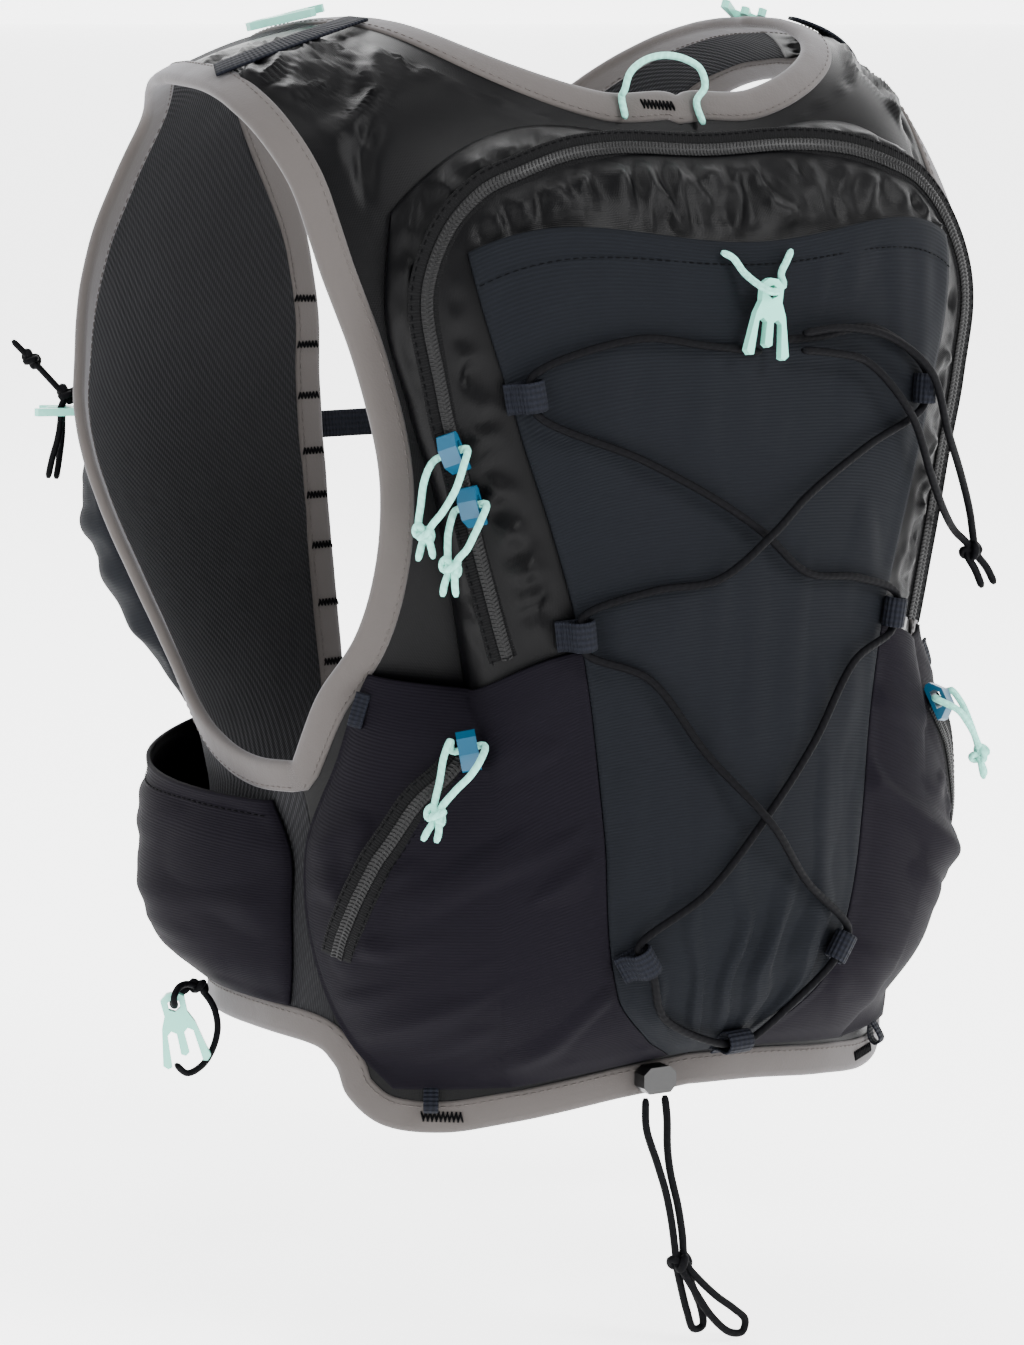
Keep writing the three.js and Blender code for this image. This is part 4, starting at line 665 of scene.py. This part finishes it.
# The drawcord below its lock
lock = seat(on_torso, 14.5, -98.4, 4.2)
middle = lock[1] + lock[0][:, 2] * 3.5
DRAW = {
    "near": [(4.4, 0, -7), (5, 1.5, -18), (0.5, 2, -31.6), (-3.5, 2, -43.4), (-6.2, 2, -55), (-7.6, 2, -64),
             (-8.4, 2, -70), (-9.3, 1, -73), (-11.4, 0.5, -80.5), (-14.8, 0, -91.6), (-18, 0, -99.4),
             (-22.1, 0, -98.9), (-21.6, 0, -92.7), (-16.6, 0.5, -81.4), (-13, 1, -73)],
    "far": [(-4.2, 0, -7), (-4.3, 1.5, -15.4), (-4.2, 2, -26.6), (-5.2, 2.5, -36), (-8.8, 2.6, -50),
            (-10.8, 2.6, -61.4), (-11.8, 2.4, -70), (-12, 4.4, -73), (-16.6, 5.2, -78.6), (-24.7, 5.6, -86.4),
            (-32.9, 5.6, -92.7), (-37.9, 5.6, -97.7), (-36.6, 5.6, -102.1), (-31.1, 5.6, -101.5),
            (-22.9, 5.6, -94.5), (-14.7, 5.2, -82.7), (-9, 4.4, -73)],
}
draw_knot = knot("drawcord_knot", offsets(middle, [(-10, 2.6, -71.5)])[0], (-0.2, 0, -1), 11, CORD,
                 "cord", ["drawcord"])
for name, points in DRAW.items():
    cord(f"drawcord_{name}", offsets(middle, points), CORD, "cord", ["drawcord"])

# The loop at the back of the neck
lift = CLOTH + 1.2 + PULL_CORD / 2 + 1
feet = [on_torso(lon, lat, lift) for lon, lat in ((17, 47.9), (17, 51.5), (-3.4, 51.5), (-3.4, 47.9))]
arch = offsets(on_torso(0, 53, 1), [(26.5, 6, 3.3), (23.5, 5.5, 10), (16.2, 5, 14.6), (7.6, 5, 16),
                                    (-1.1, 5, 14.5), (-7.3, 5.5, 10.9), (-9, 6, 4.5)])
cord("neck_loop", [*feet[:2], *arch, *feet[2:]], PULL_CORD, "lace", ["hang_loop"])

# The pole holders and the flask cords, on both sides
POLE_RING = [(16.2, 16.5, 6.1), (21.1, 17.5, 8), (27.1, 21, 8), (30.1, 23, 5), (28.6, 21, 1.4),
             (25.6, 13.5, 0.8), (22.1, 12, 3), (18.6, 14, 5.5)]
POLE_LOOP = [(14.6, 15.4, 5.2), (12.1, 19, 0.2), (11.1, 21, -4.4), (11.1, 22, -9.9), (13.1, 22, -16.7),
             (17.1, 21, -23), (22.8, 19.5, -25.9), (28.1, 20, -21.6)]
FLASK = {
    "long": [(19.4, -35.1, 27), (16.5, -32.7, 23.2), (13.6, -30.2, 19.5), (9.7, -27, 14.2), (5.6, -23.4, 8.4),
             (4.6, -20.6, 6), (6.7, -20.1, 1), (6.7, -20.1, -3), (8, -20, -10), (10, -21.2, -18),
             (11.5, -22.2, -25.8)],
    "short": [(1, -5.5, 9.5), (-0.5, -12, 9.4), (0.5, -18, 8.6), (2.4, -23.4, 6), (2.9, -26.2, 1),
              (2.9, -26.2, -3), (3.4, -25.8, -10), (5.2, -24.6, -18), (7, -24.2, -26.6)],
}
for side, sign in SIDES:
    at = on_torso(104 * sign, -90, 3)
    tie = knot(f"pole_knot_{side}", offsets(at, [(15.6, 16, 6.2)], sign)[0], (0.3, 0.2, -1), 9, PULL_CORD,
               "cord", [f"pole_cord_{side}"])
    cord(f"pole_ring_{side}", offsets(at, POLE_RING, sign), PULL_CORD, "cord", [f"pole_cord_{side}"])
    cord(f"pole_loop_{side}", offsets(at, POLE_LOOP, sign), PULL_CORD, "cord", [f"pole_cord_{side}"])
    at = on_torso(120 * sign, -6, 0)
    ties = [knot(f"flask_knot_{k}_{side}", offsets(at, [p], sign)[0], (0.5 * sign, -0.4, -0.8), 9.5,
                 PULL_CORD, "cord", [f"flask_cord_{side}"])
            for k, p in enumerate(((13.8, -30.5, 19.8), (3.3, -21.8, 6.4)))]
    for name, points in FLASK.items():
        cord(f"flask_{name}_{side}", offsets(at, points, sign), PULL_CORD, "cord",
             [f"flask_cord_{side}"])


# The edges of the body, and places a little inward of them
def inward(path, closed=False):
    """The step in lon and lat that goes a millimetre inward from each place of an edge."""
    lon, lat = path.T
    points = torso(lon, lat)
    if closed:
        run = np.roll(points, -1, 0) - np.roll(points, 1, 0)
    else:
        run = np.gradient(points, axis=0)
    east, north, out = axes(lon, lat)
    way = unit(np.cross(unit(run), out))
    ee, en, nn, we, wn = [(a * b).sum(-1) for a, b in (
        (east, east), (east, north), (north, north), (way, east), (way, north))]
    det = ee * nn - en * en
    return np.stack([(we * nn - wn * en) / det, (wn * ee - we * en) / det], -1)


def moved(path, distance, closed=False):
    return path + inward(path, closed) * distance


# counts of places along the edges; SEAM is the hem's place under the armholes' foot
N_HEM, N_BACK, N_FRONT, SEAM, RISE_STEPS = 161, 110, 130, 96, 30
SPINE_SHARE = 2 / 3  # the part of the back's rows that starts at the spine
t_back, t_front = np.linspace(0, 1, N_BACK), np.linspace(0, 1, N_FRONT)
hem = trace(HEM, np.linspace(0, 1, N_HEM))
back, front = trace(BACK_ROWS, t_back), trace(FRONT_ROWS, t_front)
rise = mix(hem[-1], front[0, :2], np.linspace(0, 1, RISE_STEPS + 1)[1:-1, None])
neck_part = back[t_back > SPINE_SHARE][::-1][1:, :2]
spine_top = np.array([[0, 53.0]])
edge = np.concatenate([hem, rise, front[:, :2], neck_part, spine_top])
hole = np.concatenate([back[:, 2:], front[::-1, 2:][1:-1]])
TUCKED = 2.5  # how far the cloth ends inside its binding
edge_in, hole_in = moved(edge, TUCKED), moved(hole, TUCKED, True)
edge_in[[0, -1], 0] = 0


def body_height(lon, lat, seed):
    """Creases of the thin nylon over the shoulders, none where pockets lie on it."""
    v = (lat - PACK_FOOT) / (PACK_TOP - PACK_FOOT)
    beside = smooth((np.abs(lon) / pack_half(np.clip(v, 0, 1)) - 1.01) * 22)
    free = np.maximum(beside, smooth((v - 0.99) * 40)) * smooth((v - 0.46) * 12)
    neck_lat = np.interp(np.abs(lon), *np.array(BACK_ROWS)[8:, :2].T)
    free = free * smooth((neck_lat - 6 - lat) / 3)
    x, y = lon * 2.1, lat * 2.3
    return free * (6 * crinkle(x, y, 22, seed) + 3 * crinkle(x * 1.5, y * 0.8, 12, seed + 9)
                   + 2.5 * noise(x, y, 34, seed + 5) - 2.4)


# The back's cloth in two halves, from the spine and the neck to the armholes
shares = (edge_in[:SEAM + 1, 0] - edge_in[0, 0]) / (edge_in[SEAM, 0] - edge_in[0, 0])
start = back[:, :2].copy()
low = t_back <= SPINE_SHARE
start[low, 1] = mix(-53, edge_in[-1, 1], (start[low, 1] + 53) / 106)
start[~low] = edge_in[::-1][1:(~low).sum() + 1]
upper = start[:, None] + (hole_in[:N_BACK] - start)[:, None] * shares[None, :, None]
climb = np.linspace(0, 1, RISE_STEPS + 1)[:-1, None, None]
half = np.concatenate([mix(edge_in[:SEAM + 1][None], upper[:1], climb), upper])
rim = np.minimum(np.arange(len(half))[:, None], len(half) - 1 - np.arange(len(half))[:, None])
fade = smooth((1 - shares - 0.075) / 0.06)[None, :] * smooth((rim - 1) / 5)
halves = []
for _, sign in SIDES:
    lon, lat = half[..., 0] * sign, half[..., 1]
    fold = body_height(lon, lat, 5) * fade
    verts, faces, uv = grid(on_torso(lon, lat, CLOTH + fold), on_torso(lon, lat, fold))
    halves.append((verts, faces[:, ::-1] if sign > 0 else faces, uv))
back_cloth = make("back_cloth", *merge(halves), "ripstop", "ripstop", ["back_panel"])

# The fronts, from the armholes to the front edges
front_hem = edge_in[SEAM:N_HEM]
shares = (front_hem[:, 0] - front_hem[0, 0]) / (front_hem[-1, 0] - front_hem[0, 0])
front_hole = np.concatenate([hole_in[:1], hole_in[N_BACK - 1:][::-1]])
front_edge = edge_in[N_HEM + RISE_STEPS - 1:N_HEM + RISE_STEPS - 1 + N_FRONT]
upper = front_hole[:, None] + (front_edge - front_hole)[:, None] * shares[None, :, None]
half = np.concatenate([mix(front_hem[None], upper[:1], climb), upper])
front_cloths = []
for side, sign in SIDES:
    lon, lat = half[..., 0] * sign, half[..., 1]
    wave = (0.9 * noise(lon * 2, lat * 2.4, 42, 31) + 0.25 * noise(lon * 2, lat * 2.4, 12, 33))
    wave = wave * smooth(shares / 0.1)[None] * smooth((1 - shares) / 0.1)[None] * smooth((lat + 92) / 8)
    wave = np.minimum(wave, 0.4)
    front_cloths.append(cloth(f"front_cloth_{side}", lon, lat, CLOTH, wave, CLOTH, "mesh",
                              f"front_panel_{side}", sign > 0))

# Bindings: a felted band folded over the cloth's edge, stitched near its inner edge
SECTION = [(-0.3, 0.2), (-0.7, 1.3), (-0.3, 2.6), (0.7, 3.4), (2.6, 3.7), (5.6, 3.65), (8.6, 3.55),
           (10.8, 3.4), (11.5, 2.9), (11.5, 1.4), (11.5, -0.2), (10.8, -0.8), (8, -1), (5, -1),
           (2.4, -1), (0.6, -0.7)]
STITCH_ROW = 9.6


def even_path(path, step, closed=False):
    if closed:
        path = np.concatenate([path, path[:1]])
    length = along(torso(*path.T))
    at = np.linspace(0, length[-1], int(length[-1] / step) + 1)
    path = resampled(path, length, at)
    return path[:-1] if closed else path


def binding(name, path, closed, sign, seed):
    path = even_path(path, 2.2, closed)
    way = inward(path, closed) * sign
    length = along(torso(*path.T))
    ripple = 0.35 * noise(length, 0 * length, 14, seed)
    rings = [on_torso(*(path + way * (d + 0.25 * ripple[:, None])).T, h + ripple * (0.4 if d < 9 else 0.2))
             for d, h in SECTION]
    rings = np.stack(rings, 1)
    o = make(f"{name}_band", *loft(rings[:, ::-1] if sign < 0 else rings, closed), "binding", "binding",
             [name])
    fine = even_path(path, 3.1, closed)
    way = inward(fine, closed) * sign
    over = on_torso(*(fine + way * STITCH_ROW).T, 3.5)
    run = np.gradient(over, axis=0)
    out = axes(*fine.T)[2]
    under = on_torso(*(fine + way * STITCH_ROW).T, -1.0)
    parts = merge([stitches(over, run, out, 2.1, 0.6, 0.35), stitches(under, run, -out, 2.1, 0.6, 0.35)])
    make(f"{name}_stitches", *parts, "grey_thread", "binding")
    return o


hem_path = np.concatenate([(hem * [-1, 1])[:0:-1], hem])
side_path = edge[N_HEM - 1:]
neck_path = np.concatenate([side_path, (side_path * [-1, 1])[-2::-1]])
bound = [binding("hem_binding", hem_path, False, 1, 3), binding("neck_binding", neck_path, False, 1, 4)]
for side, sign in SIDES:
    bound.append(binding(f"armhole_binding_{side}", hole * [sign, 1], True, sign, 6))

# The main bag: crisp nylon that puckers along its zip
MAIN_ZIP = [
    (0.905, 0.487), (0.93, 0.57), (0.95, 0.66), (0.955, 0.75), (0.948, 0.82), (0.932, 0.885),
    (0.895, 0.92), (0.83, 0.938), (0.72, 0.945), (0.55, 0.962), (0.3, 0.98), (0, 0.985),
]
ZIP_LIFT = 1.3
SIDE_ZIP = [(0.57, 0.425), (0.63, 0.39), (0.679, 0.362), (0.715, 0.291), (0.782, 0.222), (0.86, 0.16)]


def zip_line(surface, places):
    """Points along a zip and their outward directions."""
    flat_line = smooth_line([(a, b, 0) for a, b in places], 0.004)
    points = surface(flat_line[:, 0], flat_line[:, 1], ZIP_LIFT)
    line = smooth_line(points[::3], 1.5)
    probe = surface(flat_line[:, 0], flat_line[:, 1], ZIP_LIFT + 1) - points
    length, at = along(points), along(line)
    return line, unit(resampled(probe, length, at * length[-1] / at[-1]))


def nearest(points, line):
    """Distance to a line of points, and how far along it, for a grid of points."""
    flat_points = points.reshape(-1, 3)
    best = np.empty(len(flat_points), int)
    far = np.empty(len(flat_points))
    for i in range(0, len(flat_points), 4000):
        d = np.linalg.norm(flat_points[i:i + 4000, None] - line[None], axis=2)
        best[i:i + 4000], far[i:i + 4000] = d.argmin(1), d.min(1)
    return far.reshape(points.shape[:-1]), along(line)[best].reshape(points.shape[:-1])


def zipper(name, line, outs, node):
    run = np.gradient(line, axis=0)
    across = unit(np.cross(outs, run))
    tape = ribbon(line - outs * 0.6, outs, 13.5, 0.9)
    make(f"{name}_tape", *tape, "zip", "zip", [node])
    coil = ribbon(line + outs * 0.25, outs, 4.6, 0.7)
    teeth = [stitches(line + across * way * 1.25 + outs * 0.75, across + 0.25 * way * run, outs,
                      2.4, 1.15, 0.8) for way in (1, -1)]
    make(f"{name}_coil", *merge([coil, *teeth]), "coil", "zip")
    rows = [stitches((line + across * way * 5.6 + outs * 0.35)[::2], run[::2], outs[::2], 2.0, 0.5, 0.35)
            for way in (1, -1)]
    make(f"{name}_stitches", *merge(rows), "thread", "zip")


zip_places = MAIN_ZIP + [(-a, b) for a, b in MAIN_ZIP[-2::-1]]
main_line, main_outs = zip_line(on_pack, zip_places)
x = np.linspace(-1, 1, 175)
s, v = np.meshgrid(np.sin(pi / 2 * x), np.linspace(0, 1, 165))
lon, lat = pack_place(s, v)
plain = on_torso(lon, lat, pack_height(s, v))
gap, run = nearest(plain, main_line)
open_part = np.maximum(smooth((np.abs(s) - pocket_edge(v) - 0.01) * 14), smooth((v - 0.885) * 60))
open_part = open_part * smooth((v - 0.475) * 16)
rim = smooth((1 - np.abs(s)) * 25) * smooth(v * 20) * smooth((1 - v) * 40)
flat_track = smooth((gap - 5.5) / 5)
X, Y = plain[..., 0], plain[..., 2]
pucker = 1.5 * np.exp(-((gap - 11) / 9) ** 2) * np.sin(2 * pi * run / 15 + 3 * noise(X, Y, 25, 71))
creases = (5 * crinkle(lon * 2.6, Y * 0.7, 27, 72) + 2.2 * crinkle(lon * 3.4, Y * 0.8, 13, 78)
           + 2 * noise(X, Y, 34, 79) - 1.4)
fold = (pucker + creases - 0.6) * open_part * rim * flat_track
fold = np.where(gap < 6, np.minimum(fold, 0), fold)
main_bag = cloth("main_bag", lon, lat, pack_height(s, v), fold, POCKET_CLOTH, "ripstop",
                 "main_compartment", True)
zipper("main_zip", main_line, main_outs, "main_zip")

# The stretch pocket over it, with soft folds drawn in at its foot and a turned top edge
t, v = np.meshgrid(np.linspace(-1, 1, 121), np.linspace(0, STRETCH_TOP, 151))
raised = v + 0.01 * t * t * smooth((v - 0.8) * 12.5)
s = t * pocket_edge(raised)
lon, lat = pack_place(s, raised)
high = outer_height(s, raised)
point = on_torso(lon, lat, high)
X, Y = point[..., 0], point[..., 2]
fold = 2.2 * noise(X, Y, 46, 81) + 1.3 * noise(X * 1.5, Y * 0.5, 20, 82)
gathers = 3.6 * np.sin(t * 17 + 2.4 * noise(X, Y, 30, 83)) * np.exp(-((v - 0.07) / 0.11) ** 2)
fold = np.maximum(fold - 0.5 + np.minimum(gathers, 2.4), -0.9)
fold = fold * smooth((1 - np.abs(t)) * 12) * smooth(v * 14) * smooth((STRETCH_TOP - v) * 20)
stretch_pocket = cloth("stretch_pocket", lon, lat, high, fold, POCKET_CLOTH, "stretch", "outer_pocket",
                       True)


def seam(name, points, slot_name, outs):
    make(name, *stitches(points, np.gradient(points, axis=0), outs, 2.2, 0.5, 0.35), "thread", slot_name)


HEM_LINE = 0.855
t = np.linspace(-0.99, 0.99, 150)
line = smooth_line(on_outer(t * pocket_edge(HEM_LINE), np.full_like(t, HEM_LINE), 0.25), 3.2)
seam("stretch_pocket_stitches", line, "stretch", np.broadcast_to((0, 0.98, 0.2), line.shape))

# The side pockets, drawn tight over their contents with slanting folds
side_cloths = []
for side, sign in SIDES:
    line, outs = zip_line(on_side(sign), [(a * sign, b) for a, b in SIDE_ZIP])
    q, v = np.meshgrid(np.linspace(0.006, 1, 111), np.linspace(0, SIDE_TOP, 121))
    lon, lat = side_place(q, v)
    high = side_height(q, v)
    lat = lat + 3.5 * q * smooth((v - 0.36) * 10)
    point = on_torso(lon * sign, lat, high)
    gap, run = nearest(point, line)
    slant = point[..., 2] * 0.8 + lon * 1.3
    ripple = np.sin(2 * pi * run / 24 + 3 * noise(slant, lon, 20, 94))
    fold = (4.2 * noise(slant * 1.2, point[..., 2] - lon, 44, 91 + sign) - 1.2
            + 3.4 * noise(slant * 2.2, (point[..., 2] - lon) * 0.45, 24, 93 + sign)
            + 1.3 * np.exp(-((gap - 11) / 8) ** 2) * ripple)
    fold = np.where(gap < 6.5, np.minimum(fold, 0), fold)
    fold = np.maximum(fold, -0.8)
    fold *= (smooth(q * 12) * smooth((1 - q) * 9) * smooth(v * 22) * smooth((SIDE_TOP - v) * 18)
             * smooth((gap - 5) / 6))
    side_cloths.append(cloth(f"side_pocket_{side}_cloth", lon * sign, lat, high, fold, POCKET_CLOTH,
                             "pocket", f"side_pocket_{side}", sign > 0))
    zipper(f"side_zip_{side}", line, outs, f"side_zip_{side}")


# The pockets on the front
def front_pocket(name, table, bulge, sign, look_name, seed, hem_v):
    """A pocket filled out by its bulge, with a stitched hem at a share of its height."""
    rows = np.array([r[1:] for r in table])
    keys = [r[0] for r in table]
    v, t = np.meshgrid(np.linspace(0, 1, 81), np.linspace(0, 1, 91), indexing="ij")
    in_lon, in_lat, out_lon, out_lat, share = [look(keys, rows[:, c], v) for c in range(5)]
    high = PACK_BASE + bulge * share * np.sin(pi * np.clip(t, 0, 1)) ** 0.7
    lon, lat = mix(out_lon, in_lon, t) * sign, mix(out_lat, in_lat, t)
    point = on_torso(lon, lat, high)
    x, y = lon * 2, point[..., 2]
    fold = (3.6 * noise(x, y * 1.6, 44, seed) + 2.6 * noise(x * 0.5, y * 1.5 + x * 0.3, 19, seed + 1)
            + 1.6 * np.sin(y / 9 + 3 * noise(x, y, 34, seed + 2)) * np.exp(-(t / 0.16) ** 2))
    fold = (fold - 0.8) * smooth(t * 14) * smooth((1 - t) * 14) * smooth(v * 16) * smooth((1 - v) * 9)
    fold = np.clip(fold, -1.2, 3.5)
    o = cloth(f"{name}_cloth", lon, lat, high, fold, POCKET_CLOTH, look_name, name, sign < 0)
    row = int(hem_v * 80)
    ends = slice(2, -2)
    hem_at = on_torso(lon[row], lat[row], (high + fold)[row] + 0.3)[ends]
    lifted = on_torso(lon[row], lat[row], (high + fold)[row] + 4)[ends]
    line = smooth_line(hem_at, 3.2)
    length = along(line)
    outs = resampled(lifted - hem_at, np.linspace(0, length[-1], len(hem_at)), length)
    seam(f"{name}_hem", line, look_name, outs)
    return o


lower_pockets, flask_pockets = [], []
for side, sign in SIDES:
    lower_pockets.append(front_pocket(f"front_pocket_{side}", FRONT_POCKET, 26, sign, "pocket", 101, 0.93))
    flask_pockets.append(front_pocket(f"flask_pocket_{side}", FLASK_POCKET, 30, sign, "stretch", 107, 0.94))


# Straps
def strap(name, places, node):
    fine = smooth_line([(a, b, 0) for a, b in places], 0.4)
    points = on_torso(fine[:, 0], fine[:, 1], 4.4)
    outs = axes(fine[:, 0], fine[:, 1])[2]
    return make(name, *ribbon(points, outs, 11, 1.4), "webbing", "webbing", [node])


strap("chest_strap", [(lon, -11) for lon in (161, 164, 167.5, 171, 175, 179, 183)], "sternum_strap")
for side, sign in SIDES:
    strap(f"shoulder_band_{side}", [(lon * sign, lat) for lon, lat in (
        (84, 38.4), (81, 41.5), (78.5, 45.5), (77, 50), (77, 54.5))], f"shoulder_strap_{side}")


def bartack(name, lon, lat, height, run, size, width, side=1):
    """A close zigzag of thread, run along the binding or across it by its angle from east."""
    centre = on_torso(lon, lat, height)
    east, north, out = (unit(a) for a in axes(lon, lat))
    way = unit(east * math.cos(math.radians(run)) + north * math.sin(math.radians(run)))
    across = np.cross(out, way)
    t = np.arange(-size / 2, size / 2 + 0.01, 0.8)
    lean = np.where(np.arange(len(t)) % 2, 0.32, -0.32)
    middle = centre + way * t[:, None]
    # each stitch follows the face of the cloth under it
    direction = across + way * lean[:, None]
    outs = np.broadcast_to(out * side, middle.shape)
    make(name, *stitches(middle, direction, outs, width, 0.85, 0.7), "thread", "binding")


for k, (lon, lat) in enumerate(((167.1, 9.5), (167.5, 1.7), (167.3, -6.4), (167, -15), (166.3, -21.8),
                                (165.3, -29.5), (164, -38.3), (162.7, -47.4))):
    for side, sign in SIDES:
        for face, height, way in (("inner", -1.1, -1), ("outer", 3.7, 1)):
            bartack(f"front_tack_{k}_{face}_{side}", (lon - 2.6) * sign, lat, height, 0, 9, 3.2, way)
for name, lon, lat, run in (("hem_left", 60.6, -101.9, 2), ("hem_right", -60, -101.9, -2)):
    bartack(f"{name}_tack", lon, lat, 3.8, run, 15, 4.2)
bartack("neck_tack", 7, 51.3, 3.8, 0, 13, 4)


def loop(name, lon, lat, height, turn, size):
    """A small loop of webbing sewn down by both ends."""
    m = seat(on_torso, lon, lat, height, turn)
    arc = smooth_line([(-size, 0, 0.3), (-size * 0.6, 0, 1.2), (0.2 * size, 0, 3.4), (size, 0, 4.8),
                       (size * 1.35, 0, 3.4), (size, 0, 1.6), (0.2 * size, 0, 0.9), (-size, 0, 1.6)], 0.6)
    outs = np.cross(np.gradient(arc, axis=0), [0, 1, 0])
    make(name, *ribbon(place(m, arc), outs @ m[0].T, 5.5, 0.9), "webbing", "webbing")


for side, sign in SIDES:
    loop(f"side_loop_{side}", 67.5 * sign, -41.5, 8, 150 * sign, 5)
    loop(f"hem_loop_{side}", 62 * sign, -98.6, 4.4, 180, 4)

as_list(bound[:2])
for cloth, band in zip(front_cloths, bound[2:]):
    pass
for cloth in side_cloths:
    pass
for kind, size, area in ((lower_pockets, (0.22, 0.1), 0.0193), (flask_pockets, (0.16, 0.135), 0.0178)):
    for cloth, body in zip(kind, front_cloths):
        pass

# Floor and light
floor_z = cad_box[0][2]
bpy.ops.mesh.primitive_plane_add(size=500, location=(0, 0, floor_z - 0.002))
floor = bpy.context.object
floor.name = "floor"
pale = shader("pale_floor", (250, 250, 250), 0.9)
glow = pale.node_tree.nodes["Principled BSDF"].inputs
glow["Emission Color"].default_value, glow["Emission Strength"].default_value = (1, 1, 1, 1), 2.3
floor.data.materials.append(pale)
bpy.ops.mesh.primitive_plane_add(size=600, location=tuple((target - eye) * 110),
                                 rotation=(pi / 2, 0, pi - psi))
wall = bpy.context.object
wall.name = "wall"
wall.data.materials.append(pale)
world = bpy.data.worlds.new("world")
bpy.context.scene.world = world
world.use_nodes = True
sky = world.node_tree.nodes["Background"].inputs
sky["Color"].default_value, sky["Strength"].default_value = (1, 1, 1, 1), 1.35
for name, place_m, size, power in (("key", (-0.9, 2.2, 1.5), 1.0, 85), ("fill", (2.4, 0.9, 0.7), 1.6, 30),
                                   ("rim", (-0.3, -1.8, 1.9), 1.2, 50), ("top", (0.2, 0.3, 2.4), 1.0, 30)):
    lamp = bpy.data.objects.new(name, bpy.data.lights.new(name, "AREA"))
    lamp.data.size, lamp.data.energy = size, power
    lamp.location = place_m
    lamp.rotation_euler = aimed(target - place_m)
    to_scene(lamp)
